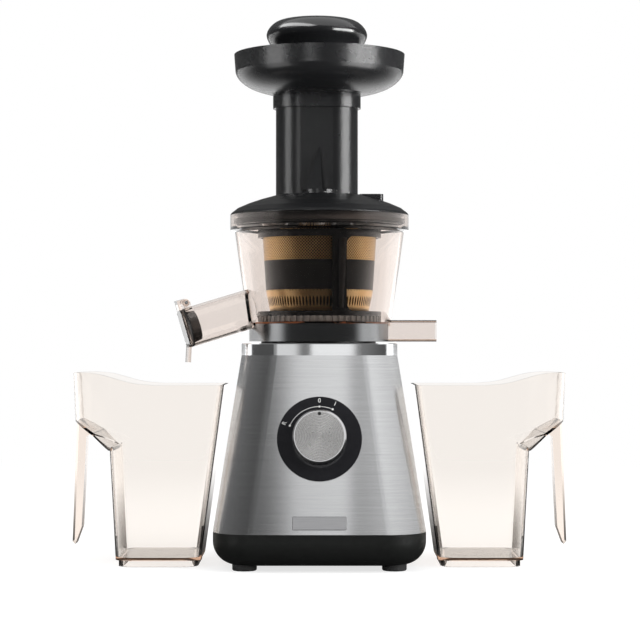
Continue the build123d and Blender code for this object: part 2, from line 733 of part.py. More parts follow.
def base_screws():
    """Four screws from the pan into the flange of the shell."""
    head_low = BASE_SCREW_SEAT - SCREW_HEAD_TALL
    return Compound([
        screw(place, head_low, BASE_SCREW_HEAD, SCREW_HEAD_TALL, BASE_SCREW_RADIUS, BASE_SCREW_LENGTH)
        for place in corner_places(FOOT_SPREAD)
    ])


def steel_shell():
    """Brushed steel frustum with an inward flange at the bottom and a hole for the switch."""
    low = Pos(0, 0, SHELL_LOW) * square(SHELL_HALF_LOW, SHELL_CORNER_LOW)
    high = Pos(0, 0, SHELL_HIGH) * square(SHELL_HALF_HIGH, SHELL_CORNER_HIGH)
    inner_low = Pos(0, 0, SHELL_LOW) * square(SHELL_HALF_LOW - SHEET, SHELL_CORNER_LOW - SHEET)
    inner_high = Pos(0, 0, SHELL_HIGH) * square(SHELL_HALF_HIGH - SHEET, SHELL_CORNER_HIGH - SHEET)
    hollow = loft([inner_low, inner_high], ruled=True)
    shell = loft([low, high], ruled=True) - hollow
    flange = prism(square(SHELL_HALF_LOW, SHELL_CORNER_LOW), SHELL_LOW, SHELL_LOW + FLANGE_THICK)
    flange -= prism(square(FLANGE_HALF, FLANGE_CORNER), SHELL_LOW, SHELL_LOW + FLANGE_THICK)
    shell += flange & hollow
    for place in corner_places(FOOT_SPREAD):
        shell -= disc(BASE_SCREW_RADIUS + RUN, SHELL_LOW, SHELL_LOW + FLANGE_THICK, place)
    hole = front_plane(DIAL_HEIGHT) * disc(NECK_RADIUS + FIT, -2 * SHEET, SHEET)
    return shell - hole


def chrome_ring():
    """Bright ring on top of the shell, with a ledge that carries the deck."""
    ring = prism(square(SHELL_HALF_HIGH, SHELL_CORNER_HIGH), SHELL_HIGH, DECK_TOP)
    ring = chamfer(ring.faces().sort_by(Axis.Z)[-1].edges(), RING_EDGE)
    ring -= prism(square(SHELL_HALF_HIGH - RING_WALL, DECK_CORNER), DECK_LOW, DECK_TOP)
    ledge_half = SHELL_HALF_HIGH - RING_WALL - RING_LEDGE_WIDTH
    ring -= prism(square(ledge_half, DECK_CORNER - RING_LEDGE_WIDTH), SHELL_HIGH, DECK_LOW)
    for place in lug_places():
        ring -= disc(LUG_RADIUS + SEAT, SHELL_HIGH, DECK_LOW, place)
    return ring


def top_deck():
    """Deck inside the chrome ring, with the turret that the bowl stands on and posts for the gearbox."""
    deck = prism(square(DECK_HALF, DECK_CORNER), DECK_LOW, DECK_TOP)
    well = DECK_HALF - RING_LEDGE_WIDTH
    deck -= prism(square(well, DECK_CORNER - RING_LEDGE_WIDTH), DECK_LOW, DECK_TOP - DECK_PLATE)
    turret = disc(TURRET_RADIUS, DECK_TOP, TURRET_TOP)
    turret = fillet(turret.faces().sort_by(Axis.Z)[-1].edges(), TURRET_EDGE)
    deck += turret
    deck -= tube(TURRET_RADIUS - PLASTIC, TURRET_BORE + PLASTIC, DECK_LOW, TURRET_TOP - DECK_PLATE)
    channel_half = DUCT_HALF + DUCT_GAP
    wall_half = channel_half + PLASTIC
    low = DECK_TOP - DECK_PLATE
    floor = block((TURRET_BORE, TURRET_RADIUS), (-wall_half, wall_half), (low, DECK_TOP))
    sides = block((TURRET_BORE, TURRET_RADIUS), (-wall_half, wall_half), (low, TURRET_TOP))
    deck += (floor + sides) & disc(TURRET_RADIUS, low, TURRET_TOP - TURRET_EDGE)
    deck -= block((DUCT_NEAR - DUCT_GAP, TURRET_RADIUS), (-channel_half, channel_half), (DECK_TOP, TURRET_TOP))
    deck -= disc(JOURNAL_RADIUS + SEAT, DECK_LOW, TURRET_TOP)
    deck -= disc(TURRET_BORE, SEAL_LOW - FIT, TURRET_TOP)
    for place in lug_places():
        under_turret = hypot(*place) < TURRET_RADIUS
        top = TURRET_TOP if under_turret else DECK_TOP
        post = disc(LUG_RADIUS, LID_HIGH, top - DECK_PLATE / 2, place)
        deck += post - disc(SCREW_RADIUS + RUN, LID_HIGH, LID_HIGH + SCREW_BITE, place)
    return deck


def shaft_seal():
    """Lip seal in the turret, around the drive shaft."""
    seal = tube(TURRET_BORE - FIT, JOURNAL_RADIUS + RUN, SEAL_LOW, TURRET_TOP - SEAT)
    groove = tube(TURRET_BORE - PLASTIC, JOURNAL_RADIUS + PLASTIC, TURRET_TOP - SEAT - SEAL_GROOVE, TURRET_TOP)
    return seal - groove


def dial_ring():
    """Gloss disc behind the knob that carries the marks."""
    ring = disc(DIAL_RADIUS, 0, DIAL_THICK)
    ring = chamfer(ring.faces().sort_by(Axis.Z)[-1].edges(), DIAL_EDGE)
    return front_plane(DIAL_HEIGHT) * (ring - disc(NECK_RADIUS + FIT, 0, DIAL_THICK))


def badge_plate():
    """Small blank plate low on the front."""
    plate = extrude(RectangleRounded(BADGE_WIDTH, BADGE_TALL, BADGE_CORNER), BADGE_THICK)
    plate = chamfer(plate.faces().sort_by(Axis.Z)[-1].edges(), BADGE_EDGE)
    return front_plane(BADGE_HEIGHT) * plate


def rotary_switch():
    """Three-way switch on the inside of the front face, with its neck through the shell."""
    body = block((-SWITCH_SIDE / 2, SWITCH_SIDE / 2), (-SWITCH_SIDE / 2, SWITCH_SIDE / 2),
                 (-SHEET - SWITCH_DEPTH, -SHEET))
    body += disc(NECK_RADIUS, -SHEET, DIAL_THICK)
    for x in (-1, 0, 1):
        tab = block((x * TAB_PITCH - TAB_HALF, x * TAB_PITCH + TAB_HALF), (-TAB_THICK, TAB_THICK),
                    (-SHEET - SWITCH_DEPTH - TAB_LONG, -SHEET - SWITCH_DEPTH))
        body += tab
    body -= disc(SPINDLE_RADIUS + RUN, -SHEET - SPINDLE_DEEP, DIAL_THICK)
    return front_plane(DIAL_HEIGHT) * body


def switch_spindle():
    """D-shaped spindle that the knob turns."""
    spindle = disc(SPINDLE_RADIUS, -SHEET - SPINDLE_DEEP + FIT, KNOB_REACH - SPINDLE_SHORT)
    cut = block((-SPINDLE_RADIUS, SPINDLE_RADIUS), (SPINDLE_FLAT, SPINDLE_RADIUS),
                (DIAL_THICK + KNOB_GAP, KNOB_REACH))
    return front_plane(DIAL_HEIGHT) * (spindle - cut)


def knob_body():
    """Round knob with a hub on the spindle and ribs inside."""
    low = DIAL_THICK + KNOB_GAP
    knob = disc(KNOB_RADIUS, low, KNOB_REACH)
    knob = chamfer(knob.faces().sort_by(Axis.Z)[-1].edges(), KNOB_CHAMFER)
    hollow = disc(KNOB_RADIUS - KNOB_WALL, low, KNOB_REACH - KNOB_ROOF)
    hollow -= disc(KNOB_HUB, low, KNOB_REACH)
    for number in range(KNOB_RIBS):
        rib = block((-KNOB_RADIUS, KNOB_RADIUS), (-KNOB_RIB, KNOB_RIB), (low + KNOB_ROOF, KNOB_REACH))
        hollow -= Rot(0, 0, number * 180 / KNOB_RIBS) * rib
    knob -= hollow
    bore = disc(SPINDLE_RADIUS + RUN, low, KNOB_REACH - SPINDLE_SHORT + SEAT)
    bore -= block((-SPINDLE_RADIUS, SPINDLE_RADIUS), (SPINDLE_FLAT + RUN, SPINDLE_RADIUS + JOIN),
                  (low, KNOB_REACH))
    knob -= bore
    knob -= disc(KNOB_FACE_RADIUS + RUN, KNOB_REACH - KNOB_INLAY, KNOB_REACH)
    return front_plane(DIAL_HEIGHT) * knob


def knob_face():
    """Spun metal disc let into the front of the knob."""
    face = disc(KNOB_FACE_RADIUS, KNOB_REACH - KNOB_INLAY, KNOB_REACH)
    face -= disc(MARKER_RADIUS + RUN, KNOB_REACH - KNOB_INLAY, KNOB_REACH, (0, MARKER_OFFSET))
    return front_plane(DIAL_HEIGHT) * face


def knob_marker():
    """Black dot that points to the mark."""
    dot = disc(MARKER_RADIUS, KNOB_REACH - KNOB_INLAY, KNOB_REACH, (0, MARKER_OFFSET))
    return front_plane(DIAL_HEIGHT) * dot


def cord_gland(reach):
    """Strain relief in the back of the pan, as far behind the middle as the knob is in front."""
    inside = SHELL_HALF_LOW - PLASTIC - GLAND_INSIDE
    body = disc(GLAND_RADIUS, inside, reach)
    body += disc(GLAND_RADIUS + GLAND_LIP, SHELL_HALF_LOW, SHELL_HALF_LOW + GLAND_LIP)
    for number in range(GLAND_GROOVES):
        low = SHELL_HALF_LOW + GLAND_LIP + number * 2 * GLAND_GROOVE
        body -= tube(GLAND_RADIUS + JOIN, GLAND_RADIUS - GLAND_GROOVE, low, low + GLAND_GROOVE)
    body -= disc(GLAND_BORE, inside, reach)
    return Pos(0, 0, GLAND_HEIGHT) * Rot(-90, 0, 0) * body


def board_posts():
    """Places of the posts under the control board."""
    dx = BOARD_LENGTH / 2 - 2 * BOARD_POST
    dy = BOARD_WIDTH / 2 - 2 * BOARD_POST
    return [(x * dx, BOARD_Y + y * dy) for x in (-1, 1) for y in (-1, 1)]


def control_board():
    """Circuit board with its capacitor, relay, heat sink and coil."""
    top = BOARD_LOW + BOARD_THICK
    depth = (BOARD_Y - BOARD_WIDTH / 2, BOARD_Y + BOARD_WIDTH / 2)
    board = block((-BOARD_LENGTH / 2, BOARD_LENGTH / 2), depth, (BOARD_LOW, top))
    for x, half, wide, tall in (
        (CAPACITOR_X, CAPACITOR_HALF, CAPACITOR_HALF, CAPACITOR_TALL),
        (RELAY_X, RELAY_HALF, RELAY_HALF, RELAY_TALL),
        (HEAT_SINK_X, HEAT_SINK_HALF, HEAT_SINK_WIDE, HEAT_SINK_TALL),
    ):
        board += block((x - half, x + half), (BOARD_Y - wide, BOARD_Y + wide), (top, top + tall))
    return board + disc(COIL_RADIUS, top, top + COIL_TALL, (COIL_X, BOARD_Y - COIL_BACK))


# ---------------------------------------------------------------- gearbox and motor
def gearbox_lower():
    """Tray of the gearbox: floor, wall, screw lugs and the flange over the motor."""
    floor_top = GEARBOX_LOW + GEARBOX_PLATE
    body = prism(gearbox_outline(HOUSING_RADIUS), GEARBOX_LOW, GEARBOX_TOP)
    for place in lug_places():
        body += disc(LUG_RADIUS, GEARBOX_LOW, GEARBOX_TOP, place)
        neck = block((-LUG_NECK, LUG_NECK), (-LUG_RADIUS, LUG_RADIUS), (GEARBOX_LOW, GEARBOX_TOP))
        inward = degrees(atan2(MIDDLE[1] - place[1], MIDDLE[0] - place[0]))
        body += Pos(place[0], place[1]) * Rot(0, 0, inward) * neck
    body += disc(MOTOR_RADIUS - MOTOR_WALL, GEARBOX_LOW, floor_top, MOTOR)
    body -= prism(gearbox_outline(CAVITY_RADIUS), floor_top, GEARBOX_TOP)
    body += disc(STUB_RADIUS + STUB_WALL, floor_top, SLOW_LOW - GEAR_SPACE)
    body -= disc(STUB_RADIUS + RUN, GEARBOX_LOW + BLIND, SLOW_LOW)
    body += disc(ARBOR_RADIUS + STUB_WALL, floor_top, FAST_LOW - GEAR_SPACE / 2, COMPOUND)
    body -= disc(ARBOR_RADIUS + RUN, GEARBOX_LOW + BLIND, FAST_LOW, COMPOUND)
    body -= disc(MOTOR_BUSH_RADIUS + FIT, GEARBOX_LOW, floor_top, MOTOR)
    for place in lug_places():
        body -= disc(SCREW_RADIUS + RUN, GEARBOX_LOW, GEARBOX_TOP, place)
    for place in motor_screw_places():
        body -= disc(SCREW_RADIUS + RUN, GEARBOX_LOW, floor_top, place)
        body -= disc(SCREW_HEAD + FIT, floor_top - SCREW_HEAD_TALL, floor_top, place)
    return body


def gearbox_upper():
    """Cover of the gearbox, with the tower around the output bearing."""
    body = prism(gearbox_outline(HOUSING_RADIUS), GEARBOX_TOP, LID_HIGH)
    for place in lug_places():
        body += disc(LUG_RADIUS, GEARBOX_TOP, LID_HIGH, place)
        neck = block((-LUG_NECK, LUG_NECK), (-LUG_RADIUS, LUG_RADIUS), (GEARBOX_TOP, LID_HIGH))
        inward = degrees(atan2(MIDDLE[1] - place[1], MIDDLE[0] - place[0]))
        body += Pos(place[0], place[1]) * Rot(0, 0, inward) * neck
    body += disc(BEARING_RADIUS + TOWER_WALL, LID_HIGH, TOWER_TOP)
    for number in range(TOWER_WEBS):
        web = block((0, TOWER_WEB), (-WEB_HALF, WEB_HALF), (LID_HIGH, LID_HIGH + TOWER_WEB_TALL))
        body += Rot(0, 0, number * 360 / TOWER_WEBS) * web
    body -= disc(BEARING_RADIUS + RUN, GEARBOX_TOP, TOWER_TOP)
    body -= disc(ARBOR_RADIUS + RUN, GEARBOX_TOP, LID_HIGH - BLIND, COMPOUND)
    for place in lug_places():
        body -= disc(SCREW_RADIUS + RUN, GEARBOX_TOP, LID_HIGH, place)
    return body


def gearbox_screws():
    """Four long screws through both housings into the deck's posts."""
    head_low = GEARBOX_LOW - SCREW_HEAD_TALL
    length = LID_HIGH - GEARBOX_LOW + SCREW_BITE - BLIND
    return Compound([
        screw(place, head_low, SCREW_HEAD, SCREW_HEAD_TALL, SCREW_RADIUS, length)
        for place in lug_places()
    ])


def output_bearing():
    """Long plain bearing of the drive shaft."""
    low = SLOW_HIGH + GEAR_SPACE
    return tube(BEARING_RADIUS, JOURNAL_RADIUS + RUN, low, TOWER_TOP)


def motor_screw_places():
    """Centres of the two screws that hold the motor under the gearbox."""
    places = []
    for angle in MOTOR_SCREW_ANGLES:
        x = MOTOR[0] + MOTOR_SCREW_RADIUS * cos(radians(angle))
        y = MOTOR[1] + MOTOR_SCREW_RADIUS * sin(radians(angle))
        places.append((x, y))
    return places


def motor_can():
    """Steel can of the motor, with vents, brush windows and a seat for each bush."""
    can = disc(MOTOR_RADIUS, MOTOR_LOW, MOTOR_HIGH, MOTOR)
    can -= disc(MOTOR_RADIUS - MOTOR_WALL, MOTOR_LOW + MOTOR_WALL, MOTOR_HIGH - MOTOR_WALL, MOTOR)
    can += disc(MOTOR_RADIUS - MOTOR_WALL, MOTOR_HIGH, GEARBOX_LOW, MOTOR)
    can -= disc(MOTOR_BUSH_RADIUS + RUN, MOTOR_LOW, GEARBOX_LOW, MOTOR)
    for number in range(CAN_VENTS):
        vent = block((CAN_VENT_NEAR, MOTOR_RADIUS), (-CAN_VENT_HALF, CAN_VENT_HALF),
                     (MOTOR_LOW, MOTOR_LOW + CAN_VENT_TALL))
        can -= Pos(MOTOR[0], MOTOR[1]) * Rot(0, 0, number * 360 / CAN_VENTS) * vent
    for side in (0, 180):
        window = block((COMMUTATOR_RADIUS, MOTOR_RADIUS + JOIN), (-BRUSH_SIDE / 2 - FIT, BRUSH_SIDE / 2 + FIT),
                       (BRUSH_LEVEL - BRUSH_SIDE / 2 - FIT, BRUSH_LEVEL + BRUSH_SIDE / 2 + FIT))
        can -= Pos(MOTOR[0], MOTOR[1]) * Rot(0, 0, BRUSH_TURN + side) * window
    for place in motor_screw_places():
        can -= disc(SCREW_RADIUS + RUN, MOTOR_HIGH - MOTOR_WALL, GEARBOX_LOW, place)
    return can


def motor_screws():
    """Two countersunk screws from inside the gearbox into the motor."""
    screws = []
    top = GEARBOX_LOW + GEARBOX_PLATE
    for place in motor_screw_places():
        shank = disc(SCREW_RADIUS, MOTOR_HIGH - MOTOR_WALL - MOTOR_SCREW_BITE, top - SCREW_HEAD_TALL, place)
        screws.append(shank + disc(SCREW_HEAD, top - SCREW_HEAD_TALL, top, place))
    return Compound(screws)


def motor_magnets():
    """Two curved field magnets inside the can."""
    outer = MOTOR_RADIUS - MOTOR_WALL - FIT
    ring = tube(outer, outer - MAGNET_THICK, MAGNET_LOW, MAGNET_HIGH, MOTOR)
    gap = block((-MOTOR_RADIUS, MOTOR_RADIUS), (-MAGNET_GAP, MAGNET_GAP), (MAGNET_LOW, MAGNET_HIGH))
    return ring - Pos(MOTOR[0], MOTOR[1]) * Rot(0, 0, BRUSH_TURN) * gap


def motor_bushes():
    """Bronze bush at each end of the motor."""
    inner = MOTOR_SHAFT_RADIUS + RUN
    floor_top = GEARBOX_LOW + GEARBOX_PLATE
    low = tube(MOTOR_BUSH_RADIUS, inner, MOTOR_LOW - BUSH_PROUD, MOTOR_LOW + MOTOR_WALL, MOTOR)
    high = tube(MOTOR_BUSH_RADIUS, inner, floor_top - BUSH_LENGTH, floor_top - BLIND, MOTOR)
    return Compound([low, high])


def motor_brushes():
    """Two carbon brushes on the commutator."""
    brushes = []
    half = BRUSH_SIDE / 2
    for side in (0, 180):
        height = (BRUSH_LEVEL - half, BRUSH_LEVEL + half)
        brush = block((COMMUTATOR_RADIUS + SEAT, MOTOR_RADIUS), (-half, half), height)
        brushes.append(Pos(MOTOR[0], MOTOR[1]) * Rot(0, 0, BRUSH_TURN + side) * brush)
    return Compound(brushes)


def motor_shaft():
    """Rotor shaft, six-sided where the pinion sits."""
    shoulder = FAST_LOW - 2 * PINION_OVER
    round_part = disc(MOTOR_SHAFT_RADIUS, MOTOR_SHAFT_LOW, shoulder, MOTOR)
    six = prism(at_gear(MOTOR, 0, hexagon(MOTOR_HEX)), shoulder, PINION_LOW + PINION_OVER)
    return round_part + six


def motor_pinion():
    """Twelve-tooth steel pinion."""
    turn = meshing_turn(0, WHEEL_TEETH, MOTOR_TEETH, MOTOR_ANGLE)
    face = outer_gear(MOTOR_TEETH, MODULE_FAST)
    low = FAST_LOW - PINION_OVER
    high = PINION_LOW + PINION_OVER
    gear = prism(at_gear(MOTOR, turn, face), low, high)
    return gear - prism(at_gear(MOTOR, 0, hexagon(MOTOR_HEX + RUN)), low, high)


def armature():
    """Slotted iron core with its windings' ends and the commutator."""
    core = disc(ARMATURE_RADIUS, MAGNET_LOW, MAGNET_HIGH, MOTOR)
    for number in range(ARMATURE_SLOTS):
        slot = block((ARMATURE_RADIUS - SLOT_DEEP, ARMATURE_RADIUS + JOIN), (-SLOT_HALF, SLOT_HALF),
                     (MAGNET_LOW, MAGNET_HIGH))
        core -= Pos(MOTOR[0], MOTOR[1]) * Rot(0, 0, number * 360 / ARMATURE_SLOTS) * slot
    core += disc(COMMUTATOR_RADIUS, MAGNET_HIGH, BRUSH_LEVEL + BRUSH_SIDE / 2 + JOIN, MOTOR)
    return core - disc(MOTOR_SHAFT_RADIUS + RUN, MAGNET_LOW, MOTOR_HIGH, MOTOR)


def cooling_fan():
    """Fan under the armature."""
    high = FAN_LOW + FAN_HEIGHT
    fan = disc(FAN_HUB, FAN_LOW, high, MOTOR)
    fan += disc(FAN_RADIUS, high - FAN_PLATE, high, MOTOR)
    for number in range(FAN_BLADES):
        length = (FAN_HUB - JOIN, FAN_RADIUS)
        blade = block(length, (-FAN_BLADE_HALF, FAN_BLADE_HALF), (FAN_LOW, high - FAN_PLATE / 2))
        fan += Pos(MOTOR[0], MOTOR[1]) * Rot(0, 0, number * 360 / FAN_BLADES) * blade
    return fan - disc(MOTOR_SHAFT_RADIUS + RUN, FAN_LOW, high, MOTOR)


def compound_arbor():
    """Steel arbor between the two housings, six-sided in the middle."""
    low = disc(ARBOR_RADIUS, GEARBOX_LOW + BLIND + FIT, FAST_LOW, COMPOUND)
    high = disc(ARBOR_RADIUS, COMPOUND_TOP, LID_HIGH - BLIND - FIT, COMPOUND)
    return low + prism(at_gear(COMPOUND, 0, hexagon(ARBOR_HEX)), FAST_LOW, COMPOUND_TOP) + high


def compound_gear():
    """Large wheel and small pinion in one piece."""
    wheel = prism(at_gear(COMPOUND, 0, outer_gear(WHEEL_TEETH, MODULE_FAST)), FAST_LOW, PINION_LOW)
    pinion = prism(at_gear(COMPOUND, 0, outer_gear(PINION_TEETH, MODULE_SLOW)), PINION_LOW, COMPOUND_TOP)
    bore = prism(at_gear(COMPOUND, 0, hexagon(ARBOR_HEX + RUN)), FAST_LOW, COMPOUND_TOP)
    return wheel + pinion - bore


def output_gear():
    """Slow gear on the drive shaft."""
    turn = meshing_turn(0, PINION_TEETH, OUTPUT_TEETH, COMPOUND_ANGLE + 180)
    face = at_gear((0, 0), turn, outer_gear(OUTPUT_TEETH, MODULE_SLOW))
    return prism(face, SLOW_LOW, SLOW_HIGH) - prism(hexagon(GEAR_HEX + RUN), SLOW_LOW, SLOW_HIGH)


def drive_shaft():
    """Shaft from the gearbox up through the deck to the auger's socket."""
    shaft = disc(STUB_RADIUS, GEARBOX_LOW + BLIND + FIT, SLOW_LOW)
    shaft += prism(hexagon(GEAR_HEX), SLOW_LOW, SLOW_HIGH)
    shaft += disc(JOURNAL_RADIUS, SLOW_HIGH, JOURNAL_TOP)
    tip = prism(hexagon(DRIVE_HEX), JOURNAL_TOP, DRIVE_TOP)
    tip = chamfer(tip.faces().sort_by(Axis.Z)[-1].edges(), HEX_EDGE)
    return shaft + tip


# ---------------------------------------------------------------- bowl
def spout_plane(distance):
    """Plane across the juice spout at a distance from its root, with its normal pointing out."""
    turn = radians(SPOUT_TURN)
    drop = radians(SPOUT_DROP)
    out = Vector(-cos(drop) * cos(turn), -cos(drop) * sin(turn), -sin(drop))
    root = Vector(-SPOUT_ROOT * cos(turn), -SPOUT_ROOT * sin(turn), SPOUT_ROOT_HEIGHT)
    return Plane(origin=root + out * distance, x_dir=(sin(turn), -cos(turn), 0), z_dir=out)


def duct():
    """Outside of the pulp duct."""
    section = RectangleRounded(2 * DUCT_HALF, DUCT_HIGH - DUCT_LOW, DUCT_CORNER)
    place = Plane(origin=(DUCT_NEAR, 0, (DUCT_LOW + DUCT_HIGH) / 2), x_dir=(0, 1, 0), z_dir=(1, 0, 0))
    return extrude(place * section, DUCT_FAR - DUCT_NEAR)


def juice_bowl():
    """Clear bowl with its juice spout, pulp duct, plateau for the strainer and gear pockets."""
    rim_slope = BOWL_RIM_LOW + BOWL_WALL
    outside = [
        (SHAFT_HOLE, BOWL_FLOOR_LOW),
        (SPIGOT_RADIUS - SPIGOT_WALL, BOWL_FLOOR_LOW),
        (SPIGOT_RADIUS - SPIGOT_WALL, SPIGOT_LOW),
        (SPIGOT_RADIUS, SPIGOT_LOW),
        (SPIGOT_RADIUS, BOWL_STEP),
        *BOWL_PROFILE,
        (BOWL_RIM_RADIUS, BOWL_RIM_LOW),
        (BOWL_RIM_RADIUS, BOWL_RIM),
    ]
    top = BOWL_PROFILE[-1]
    inside = [
        (RIM_INNER, BOWL_RIM),
        (RIM_INNER, rim_slope),
        (top[0] - BOWL_WALL, top[1]),
        (along_profile(BOWL_PROFILE, FLOOR_TOP) - BOWL_WALL, FLOOR_TOP),
        (PLATEAU_RADIUS, FLOOR_TOP),
        (PLATEAU_RADIUS, PLATEAU_TOP),
        (SHAFT_HOLE, PLATEAU_TOP),
    ]
    bowl = turned(outside + inside)
    mouth = SPOUT_LENGTH + SPOUT_SINK
    spout = spout_plane(-SPOUT_SINK) * disc(SPOUT_RADIUS, 0, mouth)
    spout += spout_plane(SPOUT_LENGTH) * tap_ears()
    hollow = cone_between(BOWL_PROFILE, SPIGOT_LOW, BOWL_RIM_LOW, BOWL_WALL)
    spout -= hollow
    spout -= disc(SKIRT_RADIUS + SEAT, SKIRT_LOW, BOWL_STEP + SEAT)
    bowl += spout
    bore = spout_plane(-SPOUT_SINK) * disc(SPOUT_RADIUS - SPOUT_WALL, 0, mouth)
    bowl -= bore - disc(SPOUT_FLOOR_RADIUS, 0, FLOOR_TOP)
    bowl += duct() - disc(SKIRT_RADIUS - JOIN, FLOOR_TOP, DUCT_HIGH)
    passage_low = DUCT_LOW + DUCT_WALL
    inner_half = DUCT_HALF - DUCT_WALL
    bowl -= block((DUCT_NEAR + DUCT_WALL, DUCT_FAR), (-inner_half, inner_half), (passage_low, BOWL_FLOOR_LOW))
    bowl -= block((SKIRT_RADIUS, DUCT_FAR), (-inner_half, inner_half), (passage_low, DUCT_HIGH - DUCT_WALL))
    half_hole = PULP_HOLE_WIDTH / 2
    far = PULP_HOLE_NEAR + PULP_HOLE_LENGTH
    bowl -= block((PULP_HOLE_NEAR, far), (-half_hole, half_hole), (passage_low, PLATEAU_TOP))
    bowl -= disc(AUGER_TIP + GEAR_POCKET, FLOOR_TOP, PLATEAU_TOP)
    bowl -= disc(IDLER_TIP + GEAR_POCKET, FLOOR_TOP, PLATEAU_TOP, (IDLER_X, 0))
    bowl -= disc(IDLER_PIN + RUN, BOWL_FLOOR_LOW + BLIND, FLOOR_TOP, (IDLER_X, 0))
    bowl -= disc(SHAFT_HOLE + SEAL_WALL, BOWL_FLOOR_LOW, BOWL_FLOOR_LOW + SEAL_TALL)
    return bowl


def across_tap(radius, start, length):
    """Cylinder along the tap's hinge, from a place on the spout's own x axis."""
    return Pos(start, TAP_PIN_UP, -TAP_PIN_BACK) * Rot(0, 90, 0) * disc(radius, 0, length)


def tap_ears():
    """Two ears on top of the mouth that hold the tap's pin."""
    half = TAP_KNUCKLE / 2 + TAP_EAR_GAP
    ears = []
    for start in (-half - TAP_EAR, half):
        back = (-TAP_PIN_BACK - TAP_KNUCKLE_RADIUS, -TAP_PIN_BACK + TAP_EAR_RADIUS)
        ear = block((start, start + TAP_EAR), (0, TAP_PIN_UP), back)
        ear += across_tap(TAP_EAR_RADIUS, start, TAP_EAR)
        ear -= across_tap(TAP_PIN_RADIUS + RUN, start, TAP_EAR)
        ears.append(ear - disc(SPOUT_RADIUS - JOIN, -PAST, PAST))
    return Compound(ears)


def tap_pin():
    """Steel pin through the ears and the knuckle."""
    half = TAP_KNUCKLE / 2 + TAP_EAR_GAP + TAP_EAR
    return spout_plane(SPOUT_LENGTH) * across_tap(TAP_PIN_RADIUS, -half, 2 * half)


def tap_cap():
    """Strap over the mouth, with the knuckle on its top and a lever tail below."""
    low = TAP_PLATE_GAP
    high = low + TAP_THICK
    plate = disc(SPOUT_RADIUS, low, high)
    plate &= block((-TAP_STRAP, TAP_STRAP), (-SPOUT_RADIUS, SPOUT_RADIUS), (low, high))
    plate = chamfer(plate.faces().sort_by(Axis.Z)[-1].edges(), TAP_EDGE)
    half = TAP_KNUCKLE / 2
    knuckle = across_tap(TAP_KNUCKLE_RADIUS, -half, TAP_KNUCKLE)
    arm = block((-half, half), (TAP_PIN_UP - TAP_ARM, TAP_PIN_UP + TAP_KNUCKLE_RADIUS), (low, high))
    bridge = block((-half, half), (TAP_PIN_UP, TAP_PIN_UP + TAP_KNUCKLE_RADIUS), (-TAP_PIN_BACK, high))
    tail = block((-TAP_TAIL_WIDTH / 2, TAP_TAIL_WIDTH / 2), (-TAP_TAIL, 0), (0, TAP_THICK))
    tail = Pos(0, -SPOUT_RADIUS + TAP_TAIL_ROOT, low) * Rot(-TAP_TAIL_ANGLE, 0, 0) * tail
    cap = plate + knuckle + arm + bridge + tail
    cap -= across_tap(TAP_PIN_RADIUS + RUN, -half, TAP_KNUCKLE)
    return spout_plane(SPOUT_LENGTH) * cap


def tap_seal():
    """Tapered silicone plug with a lip that closes the mouth."""
    bore = SPOUT_RADIUS - SPOUT_WALL
    wide = bore - TAP_PLUG_GAP
    narrow = wide - TAP_PLUG_TAPER
    plug = turned([
        (0, -TAP_PLUG), (narrow, -TAP_PLUG), (wide, SEAT / 2),
        (SPOUT_RADIUS - TAP_LIP_SHORT, SEAT / 2), (SPOUT_RADIUS - TAP_LIP_SHORT, TAP_PLATE_GAP), (0, TAP_PLATE_GAP),
    ])
    plug -= disc(narrow - TAP_PLUG_WALL, -TAP_PLUG, -TAP_PLUG_WALL)
    return spout_plane(SPOUT_LENGTH) * plug


def bowl_skirt():
    """Satin collar under the bowl, notched for the pulp duct."""
    skirt = tube(SKIRT_RADIUS, SPIGOT_RADIUS + FIT, SKIRT_LOW, BOWL_STEP)
    notch = block((0, SKIRT_RADIUS + JOIN), (-DUCT_HALF - FIT, DUCT_HALF + FIT), (SKIRT_LOW, BOWL_STEP))
    return skirt - notch


def bowl_seal():
    """Silicone ring around the drive hole, under the bowl."""
    return tube(SHAFT_HOLE + SEAL_WALL - FIT, JOURNAL_RADIUS + SEAT, BOWL_FLOOR_LOW, BOWL_FLOOR_LOW + SEAL_TALL)


def pulp_gate():
    """Silicone flap that holds the pulp back in the duct."""
    inner_half = DUCT_HALF - DUCT_WALL - SEAT
    low = DUCT_LOW + DUCT_WALL
    plate = block((GATE_AT, GATE_AT + GATE_THICK), (-inner_half, inner_half), (low + GATE_OPEN, BOWL_FLOOR_LOW))
    return plate + block((GATE_AT, GATE_AT + GATE_FOOT), (-inner_half, inner_half),
                         (BOWL_FLOOR_LOW - GATE_THICK, BOWL_FLOOR_LOW))


def idler_pin():
    """Steel pin of the wiper's idler gear."""
    return disc(IDLER_PIN, BOWL_FLOOR_LOW + BLIND + RUN, WIPER_GEAR_HIGH + IDLER_PIN_OVER, (IDLER_X, 0))


